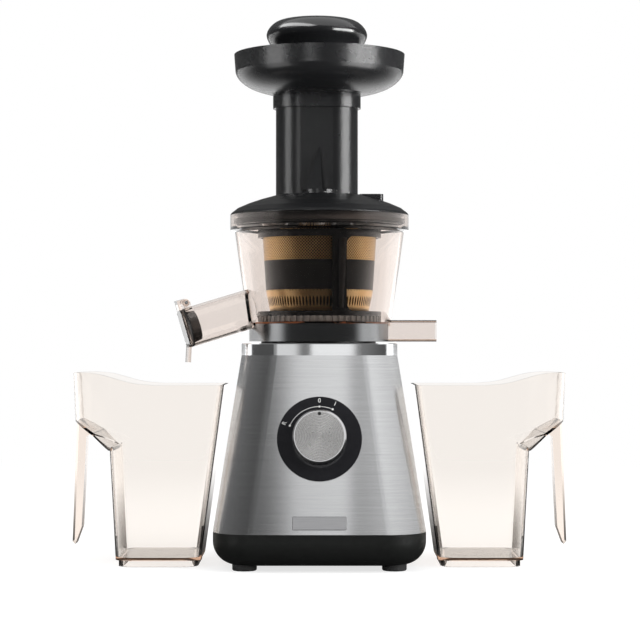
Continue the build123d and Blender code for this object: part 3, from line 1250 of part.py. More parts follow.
# ---------------------------------------------------------------- strainer, wiper and auger
def strainer_frame():
    """Black cup with a solid middle band, a top rim and ribs behind the mesh."""
    low = PLATEAU_TOP
    high = STRAINER_TOP
    deep = MESH_THICK + STRAINER_RIB_DEPTH
    frame = cone_between(STRAINER_PROFILE, low, STRAINER_FLOOR_TOP, MESH_THICK)
    frame += band_between(STRAINER_PROFILE, low, MESH_LOW, 0, deep)
    frame += band_between(STRAINER_PROFILE, BAND_LOW, BAND_HIGH, 0, deep)
    frame += band_between(STRAINER_PROFILE, MESH_HIGH, high, 0, deep)
    cage = band_between(STRAINER_PROFILE, low + JOIN, high, MESH_THICK, deep)
    half = STRAINER_RIB_WIDTH / 2
    for number in range(STRAINER_RIBS):
        rib = block((0, BOWL_RIM_RADIUS), (-half, half), (low, high))
        frame += cage & (Rot(0, 0, number * 360 / STRAINER_RIBS) * rib)
    frame -= disc(AUGER_NECK + STRAINER_HOLE_GAP, low, STRAINER_FLOOR_TOP)
    half_hole = PULP_HOLE_WIDTH / 2
    far = PULP_HOLE_NEAR + PULP_HOLE_LENGTH
    frame -= block((PULP_HOLE_NEAR, far), (-half_hole, half_hole), (low, STRAINER_FLOOR_TOP))
    return frame


def strainer_mesh():
    """Two perforated sheet bands, below and above the middle band."""
    lower = band_between(STRAINER_PROFILE, MESH_LOW, BAND_LOW, 0, MESH_THICK)
    upper = band_between(STRAINER_PROFILE, BAND_HIGH, MESH_HIGH, 0, MESH_THICK)
    return Compound([lower, upper])


def wiper_window():
    """One window of the wiper frame, cut through its wall around +X."""
    gap = 2 * pi * WIPER_OUTER / WIPER_POSTS - WIPER_POST_WIDTH
    share = gap / WIPER_OUTER / 2
    reach = 2 * WIPER_OUTER
    wedge = [(0, 0)]
    for step in range(WINDOW_STEPS + 1):
        angle = -share + 2 * share * step / WINDOW_STEPS
        wedge.append((reach * cos(angle), reach * sin(angle)))
    sector = make_face(Polyline(*wedge, close=True))
    return prism(sector, WIPER_SILL, WIPER_LINTEL)


def window_corner(angle, side, height, up):
    """Block that rounds a window's corner beside a post at an angle."""
    r = WIPER_CORNER
    half = WIPER_POST_WIDTH / 2
    square_part = block((WIPER_INNER - PAST, WIPER_OUTER + PAST), (half - JOIN, half + r), (0, r))
    round_part = Pos(WIPER_INNER - PAST, half + r, r) * Rot(0, 90, 0) * disc(r, 0, 3 * PAST)
    corner = square_part - round_part
    if side < 0:
        corner = mirror(corner, Plane.XZ)
    if up:
        corner = mirror(corner, Plane.XY)
    return Rot(0, 0, angle) * Pos(0, 0, height) * corner


def post_angles():
    """Directions of the wiper's posts."""
    return [WIPER_POST_ANGLE + number * 360 / WIPER_POSTS for number in range(WIPER_POSTS)]


def wiper_frame():
    """Cage that turns around the strainer, with wide windows and two posts."""
    wall = tube(WIPER_OUTER, WIPER_INNER, WIPER_GEAR_HIGH, WIPER_TOP)
    frame = wall
    for angle in post_angles():
        middle = angle + 180 / WIPER_POSTS
        frame -= Rot(0, 0, middle) * wiper_window()
        for side in (-1, 1):
            frame += window_corner(angle, side, WIPER_SILL, False) & wall
            frame += window_corner(angle, side, WIPER_LINTEL, True) & wall
        frame -= Rot(0, 0, angle) * blade_slot()
    return frame


def blade_slot():
    """Slot in a post that grips the blade."""
    half = BLADE_THICK / 2 + RUN
    return block((WIPER_INNER - JOIN, WIPER_OUTER + JOIN), (-half, half), (BLADE_LOW, BLADE_HIGH))


def wiper_blades():
    """Silicone blades through the posts, from the strainer to the bowl wall."""
    low = BLADE_LOW + RUN
    high = BLADE_HIGH - RUN
    space = cone_between(BOWL_PROFILE, low, high, BOWL_WALL + BLADE_GAP)
    space -= cone_between(STRAINER_PROFILE, low, high, -BLADE_GAP)
    half = BLADE_THICK / 2
    blades = []
    for angle in post_angles():
        blade = block((0, BOWL_RIM_RADIUS), (-half, half), (low, high))
        blades.append(space & (Rot(0, 0, angle) * blade))
    return Compound(blades)


def wiper_ring_gear():
    """Toothed ring under the wiper frame, with notches around its outside."""
    outline = []
    for number in range(RING_NOTCHES):
        start = 2 * pi * number / RING_NOTCHES
        step = 2 * pi / RING_NOTCHES
        for share, radius in ((0.0, 0), (0.45, 0), (0.5, 1), (0.95, 1)):
            r = WIPER_OUTER - radius * NOTCH_DEEP
            outline.append((r * cos(start + share * step), r * sin(start + share * step)))
    ring = prism(make_face(Polyline(*outline, close=True)), WIPER_GEAR_LOW, WIPER_GEAR_HIGH)
    return ring - prism(inner_gear_hole(RING_TEETH, WIPER_MODULE), WIPER_GEAR_LOW, WIPER_GEAR_HIGH)


def wiper_idler_gear():
    """Gear between the auger's gear and the ring; its many-sided bore turns on the pin."""
    bore = RegularPolygon(IDLER_PIN + RUN, 24, major_radius=False)
    face = outer_gear(IDLER_TEETH, WIPER_MODULE) - bore
    return prism(at_gear((IDLER_X, 0), idler_turn(), face), WIPER_GEAR_LOW, WIPER_GEAR_HIGH)


def idler_turn():
    """Turn that puts a tooth of the idler in the ring's tooth space on -X."""
    return 180.0


def auger_gear():
    """Gear at the foot of the auger."""
    turn = meshing_turn(idler_turn(), IDLER_TEETH, AUGER_TEETH, 0)
    face = at_gear((0, 0), turn, outer_gear(AUGER_TEETH, WIPER_MODULE)) - hexagon(SOCKET_HEX + RUN)
    return prism(face, WIPER_GEAR_LOW, WIPER_GEAR_HIGH)


def auger_socket():
    """Steel socket in the auger that takes the drive shaft."""
    body = prism(hexagon(SOCKET_HEX), WIPER_GEAR_LOW, SOCKET_TOP)
    return body - prism(hexagon(DRIVE_HEX + 2 * SOCKET_PLAY), WIPER_GEAR_LOW, DRIVE_TOP + BLIND)


def auger():
    """Screw with a tapered core and steep flights, a neck below and a pin on top."""
    low = STRAINER_FLOOR_TOP + AUGER_GAP
    core = turned([(0, low), (AUGER_CORE_LOW, low), (AUGER_CORE_HIGH, AUGER_TOP), (0, AUGER_TOP)])
    across = Rectangle(4 * AUGER_CORE_LOW, AUGER_FLIGHT_WIDTH)
    twist = Solid.extrude_linear_with_rotation(
        (Pos(0, 0, low) * across).face(), (0, 0, low), (0, 0, AUGER_TOP - low), AUGER_TWIST
    )
    inset = MESH_THICK + STRAINER_RIB_DEPTH + AUGER_GAP
    flights = twist & cone_between(STRAINER_PROFILE, low, AUGER_TOP - FLIGHT_SHORT, inset)
    body = core + flights
    body += disc(AUGER_NECK, WIPER_GEAR_HIGH, low)
    body += disc(AUGER_PIN, AUGER_TOP, AUGER_PIN_TOP)
    return body - prism(hexagon(SOCKET_HEX + RUN), WIPER_GEAR_HIGH, SOCKET_TOP + RUN)


# ---------------------------------------------------------------- lid, tray and pusher
def lid():
    """Lid with the oval feed tube, the gusset, the bearing boss and the grip pad."""
    outside = [*LID_PROFILE, (0, LID_CROWN)]
    under = [(0, LID_CROWN - PLASTIC)]
    under += [(r, z - PLASTIC) for r, z in reversed(LID_PROFILE) if r < LID_INNER]
    under += [(LID_INNER, along_profile_down(LID_INNER) - PLASTIC), (LID_INNER, LID_SKIRT_LOW)]
    under += [(LID_SKIRT_RADIUS, LID_SKIRT_LOW), (LID_SKIRT_RADIUS, BOWL_RIM), (BOWL_RIM_RADIUS, BOWL_RIM)]
    body = turned(outside + under)
    body -= tube(LID_SKIRT_RADIUS, LID_SKIRT_RADIUS - GASKET_DEPTH, GASKET_LOW, GASKET_LOW + GASKET_TALL)
    roof_low = along_profile_down(COLLAR_RADIUS) - PLASTIC / 2
    body += tube(COLLAR_RADIUS, COLLAR_RADIUS - PLASTIC, COLLAR_LOW, roof_low)
    body += disc(BEARING_BOSS, BEARING_BOSS_LOW, LID_CROWN - PLASTIC / 2)
    boss = disc(BOSS_RADIUS, LID_CROWN - PLASTIC, BOSS_TOP)
    boss -= disc(BOSS_RADIUS - PLASTIC, LID_CROWN, BOSS_TOP)
    for number in range(BOSS_NOTCHES):
        depth = (BOSS_RADIUS - PLASTIC - JOIN, BOSS_RADIUS + JOIN)
        width = (-BOSS_NOTCH_WIDTH / 2, BOSS_NOTCH_WIDTH / 2)
        notch = block(depth, width, (BOSS_TOP - NOTCH_TALL, BOSS_TOP))
        boss -= Rot(0, 0, number * 360 / BOSS_NOTCHES) * notch
    body += boss
    roof = along_profile_down(PAD_FAR) - PLASTIC
    pad = block((PAD_NEAR, PAD_FAR), (-PAD_HALF, PAD_HALF), (roof, PAD_TOP))
    body += fillet(pad.edges().filter_by(Axis.Z), PAD_CORNER)
    body += prism(oval(TUBE_HALF, TUBE_DEPTH), LID_CROWN - PLASTIC - TUBE_SINK, TUBE_TOP)
    body += gusset()
    body -= prism(oval(TUBE_HALF - PLASTIC, TUBE_DEPTH - PLASTIC), COLLAR_LOW, TUBE_TOP)
    return body - disc(BEARING_BUSH + FIT, BEARING_BOSS_LOW, AUGER_PIN_TOP + 2 * BLIND)


def along_profile_down(radius):
    """Height of the lid's top surface at a radius."""
    points = [*LID_PROFILE, (0, LID_CROWN)]
    for (r0, z0), (r1, z1) in zip(points, points[1:]):
        if r1 <= radius <= r0:
            return z0 + (z1 - z0) * (r0 - radius) / (r0 - r1)
    return LID_CROWN


def gusset():
    """Wedge between the front of the feed tube and the boss."""
    foot = LID_CROWN - JOIN
    front = make_face(Polyline(
        (GUSSET_PEAK, GUSSET_TOP), (GUSSET_LEFT, foot), (GUSSET_RIGHT, foot), close=True
    ))
    wedge = extrude(Plane.XZ.offset(-TUBE_Y) * front, TUBE_Y - GUSSET_FRONT)
    back = TUBE_Y - TUBE_DEPTH + PLASTIC / 2
    side = make_face(Polyline((back, GUSSET_TOP), (GUSSET_FRONT, foot), (back, foot), close=True))
    slope = extrude(Plane.YZ.offset(GUSSET_LEFT - JOIN) * side, GUSSET_RIGHT - GUSSET_LEFT + 2 * JOIN)
    return wedge & slope


def lid_gasket():
    """Silicone ring in the lid's groove."""
    inner = LID_SKIRT_RADIUS - GASKET_DEPTH + FIT
    return tube(RIM_INNER - SEAT, inner, GASKET_LOW + FIT, GASKET_LOW + GASKET_TALL - FIT)


def auger_bearing():
    """Plain bush in the lid for the auger's pin."""
    return tube(BEARING_BUSH, AUGER_PIN + RUN, BEARING_BOSS_LOW, AUGER_PIN_TOP + BLIND)


def hopper_tray():
    """Round dish that stands on the feed tube with its collar over it."""
    bottom = TRAY_CURVE[-1]
    top_of_seat = TUBE_TOP + TRAY_SEAT_THICK
    outer_curve = Spline((TRAY_SIDE_RADIUS, TRAY_SIDE_LOW), *TRAY_CURVE)
    outline = outer_curve + Polyline(
        bottom, (0, bottom[1]), (0, TRAY_RIM), (TRAY_RADIUS, TRAY_RIM), (TRAY_SIDE_RADIUS, TRAY_SIDE_LOW)
    )
    outer = revolve(Plane.XZ * make_face(outline), Axis.Z)
    hollow_curve = [(r - TRAY_DRAFT, z + PLASTIC) for r, z in TRAY_CURVE]
    start = (TRAY_SIDE_RADIUS - PLASTIC, TRAY_SIDE_LOW)
    inner_curve = Spline(start, *hollow_curve)
    end = hollow_curve[-1]
    inner_outline = inner_curve + Polyline(
        end, (0, end[1]), (0, TRAY_RIM), (TRAY_RADIUS - PLASTIC, TRAY_RIM), start
    )
    inner = revolve(Plane.XZ * make_face(inner_outline), Axis.Z)
    tray = Pos(0, TRAY_Y, 0) * (outer - inner)
    reach = TUBE_HALF + SEAT + TRAY_COLLAR
    deep = TUBE_DEPTH + SEAT + TRAY_COLLAR
    tray += prism(oval(reach, deep), TRAY_COLLAR_LOW, top_of_seat)
    tray -= prism(oval(TUBE_HALF + SEAT, TUBE_DEPTH + SEAT), TRAY_COLLAR_LOW, TUBE_TOP)
    return tray - prism(oval(TUBE_HALF - PLASTIC, TUBE_DEPTH - PLASTIC), TUBE_TOP - JOIN, TRAY_RIM)


def pusher_stem():
    """Hollow oval plunger with a stop flange that rests on the tray."""
    stem = prism(oval(STEM_HALF, STEM_DEEP), STEM_LOW, STEM_TOP)
    flange_low = TUBE_TOP + TRAY_SEAT_THICK + SEAT
    flange = oval(TUBE_HALF - PLASTIC + STEM_FLANGE_WIDE, TUBE_DEPTH - PLASTIC + STEM_FLANGE_WIDE)
    stem += prism(flange, flange_low, flange_low + STEM_FLANGE)
    return stem - prism(oval(STEM_HALF - PLASTIC, STEM_DEEP - PLASTIC), STEM_LOW + PLASTIC, STEM_TOP)


def pusher_cap():
    """Flattened dome on top of the plunger."""
    under = (CAP_UNDER, CAP_LOW)
    outer_side = Spline(under, *CAP_DOME, (0, CAP_TOP))
    outline = outer_side + Polyline((0, CAP_TOP), (0, CAP_LOW), under)
    cap = Pos(TUBE_X, TUBE_Y, 0) * revolve(Plane.XZ * make_face(outline), Axis.Z)
    hollow = Pos(TUBE_X, TUBE_Y, 0) * disc(CAP_UNDER - PLASTIC, CAP_LOW, CAP_HOLLOW)
    socket = prism(oval(STEM_HALF + FIT + PLASTIC, STEM_DEEP + FIT + PLASTIC), CAP_LOW, CAP_HOLLOW)
    socket -= prism(oval(STEM_HALF + FIT, STEM_DEEP + FIT), CAP_LOW, STEM_TOP)
    socket -= prism(oval(STEM_HALF - PLASTIC, STEM_DEEP - PLASTIC), CAP_LOW, CAP_HOLLOW)
    return cap - (hollow - socket)


# ---------------------------------------------------------------- jugs
def jug_share(height):
    """How far a height is up the jug's drafted sides."""
    return (height - JUG_FLOOR) / (JUG_FLAT_TOP - JUG_FLOOR)


def jug_section(height, inset, far, corner):
    """Level section of the jug from its machine-side wall to a far side."""
    share = jug_share(height)
    near = JUG_INNER_LOW + (JUG_INNER_TOP - JUG_INNER_LOW) * share + inset
    depth = JUG_DEPTH_LOW + (JUG_DEPTH_TOP - JUG_DEPTH_LOW) * share - inset
    section = RectangleRounded(far - near, 2 * depth, corner)
    return Pos(-(near + far) / 2, 0, height) * section


def jug_form(inset, low):
    """Outside of the left jug, or its inside when inset by the wall, above a height."""
    top = JUG_LIP + PAST
    back_low = JUG_BACK_LOW + (JUG_BACK_TOP - JUG_BACK_LOW) * jug_share(low) - inset
    back_top = JUG_BACK_LOW + (JUG_BACK_TOP - JUG_BACK_LOW) * jug_share(top) - inset
    corner = JUG_CORNER - inset
    body = loft([jug_section(low, inset, back_low, corner), jug_section(top, inset, back_top, corner)], ruled=True)
    under = JUG_UNDER + inset
    root = -JUG_BACK_LOW + JUG_BEAK_ROOT
    beak = Polyline(
        (-JUG_OUTER + inset, top),
        (-JUG_BEAK_OUTER_LOW + inset, JUG_BEAK_LOW + inset / 2),
        (-JUG_ARCH_AT + inset / 2, JUG_ARCH + inset),
        (-JUG_ARCH_END + inset, under),
        (root, under),
        (root, top),
        close=True,
    )
    wedge = extrude(Plane.XZ.offset(-2 * JUG_DEPTH_TOP) * make_face(beak), 4 * JUG_DEPTH_TOP)
    round_corner = JUG_BACK_CORNER - inset
    low_section = jug_section(JUG_UNDER - JOIN, inset, JUG_BEAK_OUTER_LOW - inset, round_corner)
    mask = loft([low_section, jug_section(top, inset, JUG_OUTER - inset, round_corner)], ruled=True)
    return body + (wedge & mask & beak_hull(inset))


def beak_hull(inset):
    """Long trough with rounded lower edges that slopes along the underside of the beak."""
    outer = Vector(-JUG_BEAK_OUTER_LOW, 0, JUG_BEAK_LOW)
    slope = Vector(-JUG_ARCH_END, 0, JUG_UNDER) - outer
    section = RectangleRounded(2 * (JUG_DEPTH_TOP - inset), JUG_HULL_TALL, JUG_HULL_ROUND - inset)
    place = Plane(origin=outer - slope, x_dir=(0, 1, 0), z_dir=slope)
    return extrude(place * Pos(0, inset + JUG_HULL_TALL / 2) * section, 4 * slope.length)


def lip_cut():
    """Everything above the jug's curved top edge."""
    outside = -JUG_OUTER - JUG_LIP_PAST
    edge = Spline(*[(-x, z) for x, z in JUG_LIP_POINTS], (outside, JUG_LIP_OUTER))
    near = JUG_LIP_POINTS[0]
    near_side = -JUG_INNER_TOP + PAST
    top = JUG_LIP + 2 * PAST
    outline = edge + Polyline(
        (outside, JUG_LIP_OUTER), (outside, top), (near_side, top), (near_side, JUG_FLAT_TOP),
        (-near[0] + JUG_LIP_FLAT, JUG_FLAT_TOP), (-near[0], near[1]),
    )
    return extrude(Plane.XZ.offset(-2 * JUG_DEPTH_TOP) * make_face(outline), 4 * JUG_DEPTH_TOP)


def jug_foot():
    """Raised ring that the jug stands on."""
    length = JUG_FOOT_FAR - JUG_FOOT_NEAR
    ring = RectangleRounded(length, 2 * JUG_FOOT_DEPTH, JUG_CORNER)
    hole_length = length - 2 * JUG_FOOT_RING
    hole_depth = 2 * JUG_FOOT_DEPTH - 2 * JUG_FOOT_RING
    ring -= RectangleRounded(hole_length, hole_depth, JUG_CORNER - JUG_FOOT_RING)
    return prism(Pos(-(JUG_FOOT_FAR + JUG_FOOT_NEAR) / 2, 0) * ring, 0, JUG_FLOOR)


def jug_handle():
    """Open-ended grip that hangs from the beak."""
    root = JUG_BEAK_LOW + HANDLE_ROOT
    side = make_face(Polyline(
        (-HANDLE_TOP_OUTER, root),
        (-JUG_OUTER, HANDLE_TIP + HANDLE_ROUND),
        (-JUG_OUTER + HANDLE_ROUND, HANDLE_TIP),
        (-HANDLE_LOW_INNER, HANDLE_TIP + HANDLE_SLANT),
        (-HANDLE_TOP_INNER, JUG_ARCH - HANDLE_ROUND),
        (-JUG_ARCH_AT, JUG_ARCH + HANDLE_ROUND),
        (-JUG_ARCH_AT, root),
        close=True,
    ))
    return extrude(Plane.XZ.offset(-HANDLE_HALF) * side, 2 * HANDLE_HALF)


def jug():
    """Left jug, beside the pan: hollow body with a beak over an open-ended handle."""
    body = jug_form(0, JUG_FLOOR) + jug_foot() + jug_handle()
    inside = jug_form(JUG_WALL, JUG_FLOOR + JUG_WALL)
    return Pos(-SHELL_HALF_LOW, 0, 0) * (body - inside - lip_cut())


# ---------------------------------------------------------------- write every piece
def write(name, shape):
    """Writes one piece to its own file."""
    export_step(shape, f"parts/{name}.step")


def main():
    os.makedirs("parts", exist_ok=True)
    knob = knob_body()
    write("knob_body", knob)
    write("cord_gland", cord_gland(-knob.bounding_box().min.Y))
    left_jug = jug()
    write("juice_jug", left_jug)
    write("pulp_jug", mirror(left_jug, Plane.YZ))
    pieces = (
        base_pan, rubber_feet, base_screws, steel_shell, chrome_ring, top_deck, shaft_seal,
        dial_ring, badge_plate, rotary_switch, switch_spindle, knob_face, knob_marker, control_board,
        gearbox_lower, gearbox_upper, gearbox_screws, output_bearing,
        motor_can, motor_screws, motor_magnets, motor_bushes, motor_brushes,
        motor_shaft, motor_pinion, armature, cooling_fan,
        compound_arbor, compound_gear, output_gear, drive_shaft,
        juice_bowl, bowl_skirt, bowl_seal, pulp_gate, idler_pin, tap_pin, tap_cap, tap_seal,
        strainer_frame, strainer_mesh, wiper_frame, wiper_blades, wiper_ring_gear, wiper_idler_gear,
        auger_gear, auger_socket, auger,
        lid, lid_gasket, auger_bearing, hopper_tray, pusher_stem, pusher_cap,
    )
    for piece in pieces:
        write(piece.__name__, piece())


main()
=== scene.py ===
# %% [markdown]
# # A cold press juicer with its two jugs
# The solids of the machine are made already, node by node and in metres. This lesson dresses them:
# it sets up a camera and a small studio, gives every node a finish with its own grain, and adds the
# printed marks of the dial, which a solid model leaves out.

# %% Load the solids
from math import atan, cos, pi, radians, sin, tan

import bmesh
import bpy
from mathutils import Matrix, Vector


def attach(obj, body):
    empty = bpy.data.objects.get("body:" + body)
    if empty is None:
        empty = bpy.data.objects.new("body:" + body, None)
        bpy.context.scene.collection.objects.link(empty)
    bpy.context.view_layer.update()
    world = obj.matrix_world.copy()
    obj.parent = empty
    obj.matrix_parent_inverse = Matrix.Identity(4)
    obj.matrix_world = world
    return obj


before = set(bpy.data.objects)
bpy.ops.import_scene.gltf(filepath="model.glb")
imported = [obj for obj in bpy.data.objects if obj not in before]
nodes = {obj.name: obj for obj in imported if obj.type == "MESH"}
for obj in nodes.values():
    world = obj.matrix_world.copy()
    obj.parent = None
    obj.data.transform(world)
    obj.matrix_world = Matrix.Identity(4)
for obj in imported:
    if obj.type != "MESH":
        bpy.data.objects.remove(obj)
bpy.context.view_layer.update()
MM = 0.001
print(len(nodes), "nodes loaded")

# %% [markdown]
# ## Shader maths as sums
# A shader is a graph of nodes, and its sums could be wired socket by socket, which is tedious and
# hard to read back. `Wire` wraps one output socket instead, so that `1 - grain * 0.2` adds its own
# Math nodes. `Shading` holds a node tree and has the one method that makes any node: its type, its
# settings, and what its sockets get.


# %% Wires and node trees
class Wire:
    """One output socket of a node tree. A sum on it adds Math nodes to the tree."""

    def __init__(self, shading, socket):
        self.shading, self.socket = shading, socket

    def math(self, operation, *others):
        return self.shading.node(
            "ShaderNodeMath", {"operation": operation}, dict(enumerate((self, *others)))
        )

    def __add__(self, other):
        return self.math("ADD", other)

    def __sub__(self, other):
        return self.math("SUBTRACT", other)

    def __rsub__(self, other):
        return (self * -1) + other

    def __mul__(self, other):
        return self.math("MULTIPLY", other)

    __radd__, __rmul__ = __add__, __mul__

    def ramp(self, low, high, start=0.0, end=1.0):
        """Goes smoothly from start to end while the wire goes from low to high."""
        return self.shading.node(
            "ShaderNodeMapRange",
            {"interpolation_type": "SMOOTHSTEP"},
            {"Value": self, "From Min": low, "From Max": high, "To Min": start, "To Max": end},
        )


class Shading:
    """A node tree, with the one method that makes its nodes."""

    def __init__(self, tree):
        self.tree = tree
        tree.nodes.clear()

    def node(self, kind, settings=None, inputs=None, output=0):
        made = self.tree.nodes.new(kind)
        for key, value in (settings or {}).items():
            setattr(made, key, value)
        for key, value in (inputs or {}).items():
            self.feed(made.inputs[key], value)
        return Wire(self, made.outputs[output])

    def feed(self, socket, value):
        if isinstance(value, Wire):
            self.tree.links.new(value.socket, socket)
        elif socket.type == "RGBA":
            socket.default_value = (*value, 1) if len(value) == 3 else value
        else:
            socket.default_value = value

    def mix(self, share, first, second):
        """A colour that goes from first to second as share goes from 0 to 1."""
        return self.node("ShaderNodeMix", {"data_type": "RGBA"}, {0: share, 6: first, 7: second}, 2)

    def parts(self, vector):
        return [
            self.node("ShaderNodeSeparateXYZ", {}, {"Vector": vector}, axis) for axis in range(3)
        ]

    def path(self, *names):
        """1 for rays of the named kinds, and 0 for others."""
        kinds = [self.node("ShaderNodeLightPath", {}, {}, name) for name in names]
        total = kinds[0]
        for kind in kinds[1:]:
            total = total.math("MAXIMUM", kind)
        return total


# %% [markdown]
# ## Finishes
# A real finish is more than a colour: it has grain, streaks and clouds of gloss. These could be
# painted as pictures, but then every piece would need its own unwrapping. Here each finish is one
# Principled shader. What is the same all over is set on the shader's own sockets, and what varies
# is worked out from Object coordinates, so that a pattern stays in the material however the piece
# is turned.


# %% The finish class
BLACK, WHITE = (0, 0, 0), (1, 1, 1)


class Finish(Shading):
    """A material: a Principled shader and the nodes that vary it over the surface."""

    def __init__(self, name, colour, roughness, **constants):
        self.material = bpy.data.materials.new(name)
        self.material.use_nodes = True
        super().__init__(self.material.node_tree)
        self.shader = self.tree.nodes.new("ShaderNodeBsdfPrincipled")
        self.output = self.tree.nodes.new("ShaderNodeOutputMaterial")
        self.principled = Wire(self, self.shader.outputs[0])
        self.show("Surface", self.principled)
        self.set("Base Color", colour)
        self.set("Roughness", roughness)
        for key, value in constants.items():
            self.set(key.replace("_", " ").title().replace("Ior", "IOR"), value)

    def set(self, socket, value):
        self.feed(self.shader.inputs[socket], value)

    def show(self, socket, shader):
        """Gives a shader to the material's own output."""
        self.feed(self.output.inputs[socket], shader)

    def glow(self, strength, colour=WHITE):
        return self.node("ShaderNodeEmission", {}, {"Color": colour, "Strength": strength})

    def place(self, stretch=(1, 1, 1), origin=(0, 0, 0), turn=(0, 0, 0)):
        """Object coordinates, seen from origin in a turned frame, then stretched."""
        here = self.node("ShaderNodeTexCoord", {}, {}, "Object")
        if any(origin) or any(turn):
            here = self.node(
                "ShaderNodeMapping",
                {"vector_type": "TEXTURE"},
                {"Vector": here, "Location": origin, "Rotation": turn},
            )
        if stretch != (1, 1, 1):
            multiply = {"operation": "MULTIPLY"}
            here = self.node("ShaderNodeVectorMath", multiply, {0: here, 1: stretch})
        return here

    def noise(self, per_metre, detail=2.0, stretch=(1, 1, 1)):
        """Noise from 0 to 1 with that many grains in a metre."""
        return self.node(
            "ShaderNodeTexNoise",
            {},
            {"Vector": self.place(stretch), "Scale": per_metre, "Detail": detail},
        )

    def relief(self, height):
        """Lets the light see the surface as raised by height, in metres."""
        bump = self.node("ShaderNodeBump", {}, {"Height": height, "Distance": 1.0}, "Normal")
        self.set("Normal", bump)


def dress(finish, *names):
    for name in names:
        nodes[name].material_slots[0].material = finish.material
    print(finish.material.name, "on", ", ".join(names))


# %% [markdown]
# ## Camera
# A machine of this height could be shown from close by, with strong perspective, but catalogue
# pictures use a long lens, which keeps its upright edges parallel. The camera stands a metre and a
# half away, a little below the middle of the machine's height, so that the tray shows its underside
# and the feet nearly lie on one line.

# %% The camera
FRAME_PIXELS, SENSOR = 640, 36.0
PIXELS_PER_SLOPE = 1971.0
HORIZON_BELOW_MIDDLE = 22  # pixels
camera_data = bpy.data.cameras.new("camera")
camera_data.sensor_width = SENSOR
camera_data.lens = PIXELS_PER_SLOPE * SENSOR / FRAME_PIXELS
camera = bpy.data.objects.new("camera", camera_data)
camera.location = (0.0004, -1.490, 0.166)
camera.rotation_euler = (pi / 2 + atan(HORIZON_BELOW_MIDDLE / PIXELS_PER_SLOPE), 0, 0)
bpy.context.scene.collection.objects.link(camera)
bpy.context.scene.camera = camera
bpy.context.scene.view_settings.view_transform = "Standard"
print("lens", round(camera_data.lens, 1), "mm")

# %% [markdown]
# ## Room
# Glossy black plastic shows nothing but its surroundings, so the surroundings are designed before
# any finish. They could be walls with lamps behind them, but the world's own shader needs no walls:
# Light Path tells it what kind of ray is asking. The camera sees plain white, scattered light is
# even, and mirrored rays see a dim room, which keeps black plastic black. Rays that are mirrored
# inside clear plastic and then leave it see white at the sides, so that bowl and jugs stay bright.


# %% The world
class Studio(Shading):
    """The world: white for what looks straight through it, a dim room for the rest."""

    def __init__(self, diffuse, front, rear, top):
        world = bpy.data.worlds.new("studio")
        world.use_nodes = True
        bpy.context.scene.world = world
        super().__init__(world.node_tree)
        across, away, up = self.parts(self.node("ShaderNodeTexCoord", {}, {}, "Generated"))
        room = away.ramp(-0.6, 0.9, front, rear) + up.ramp(0.35, 0.8, 0.0, top)
        scattered, mirrored = [
            self.path(depth).math("MINIMUM", 1) for depth in ("Diffuse Depth", "Glossy Depth")
        ]
        level = scattered * (diffuse - room) + room
        passing = self.path("Is Camera Ray", "Is Transmission Ray")
        straight = passing * (1 - scattered) * (1 - mirrored)
        beside = across.math("ABSOLUTE").ramp(0.5, 0.85, 0.85, 1.4)
        behind = away.ramp(-0.7, -0.3, 0.02, 1.0)
        inside = self.path("Is Transmission Ray") * mirrored * beside * behind
        white = (straight * (1 - level) + level).math("MAXIMUM", inside)
        background = self.node("ShaderNodeBackground", {}, {"Color": self.mix(white, BLACK, WHITE)})
        output = self.tree.nodes.new("ShaderNodeOutputWorld")
        self.feed(output.inputs["Surface"], background)


Studio(diffuse=0.5, front=0.06, rear=0.13, top=0.12)
print("room made")

# %% [markdown]
# ## Soft boxes
# A studio lights such a machine with large soft boxes, which leave upright highlights on its round
# black walls. A glowing panel could do that, but an area lamp is sampled directly and leaves less
# noise. It is placed by what the piece sees of it: a span of turns from the front and a span of
# rises above level. Light linking keeps a lamp to its own pieces, so that each highlight is set by
# itself.


# %% Lamps and light groups
def soft_box(name, radiance, turns, rises, aim, far=2.0):
    """A lamp that fills a span of turns and one of rises, in degrees, as seen from aim.

    An area lamp gives its power over pi times its area, so the radiance sets the power."""
    turn, rise = radians(sum(turns) / 2), radians(sum(rises) / 2)
    lamp = bpy.data.lights.new(name, "AREA")
    lamp.shape = "RECTANGLE"
    lamp.size, lamp.size_y = [
        2 * far * tan(radians(high - low) / 2) for low, high in (turns, rises)
    ]
    lamp.energy = radiance * pi * lamp.size * lamp.size_y
    piece = bpy.data.objects.new(name, lamp)
    away = Vector((sin(turn) * cos(rise), -cos(turn) * cos(rise), sin(rise)))
    piece.location = Vector(aim) + away * far
    piece.rotation_euler = away.to_track_quat("Z", "Y").to_euler()
    bpy.context.scene.collection.objects.link(piece)
    print(name, round(lamp.energy, 2), "W")
    return piece


def light_group(name, members, state, *lamps):
    """Lets lamps reach only the named nodes, or all but them."""
    group = bpy.data.collections.new(name)
    for member in members:
        group.objects.link(nodes[member])
    for entry in group.collection_objects:
        entry.light_linking.link_state = state
    for lamp in lamps:
        lamp.light_linking.receiver_collection = group


# %% [markdown]
# ## Lamps for the mouldings
# Three boxes serve the lid, the feed tube and the base: a bright one on the right, a weaker one on
# the left, and a strip nearly in front, which draws the thin line down the tube. They could light
# all of the machine, but a lamp is a hard white square in a clear wall and a hot spot on metal, so
# both are left out, and so is what stands inside the bowl.

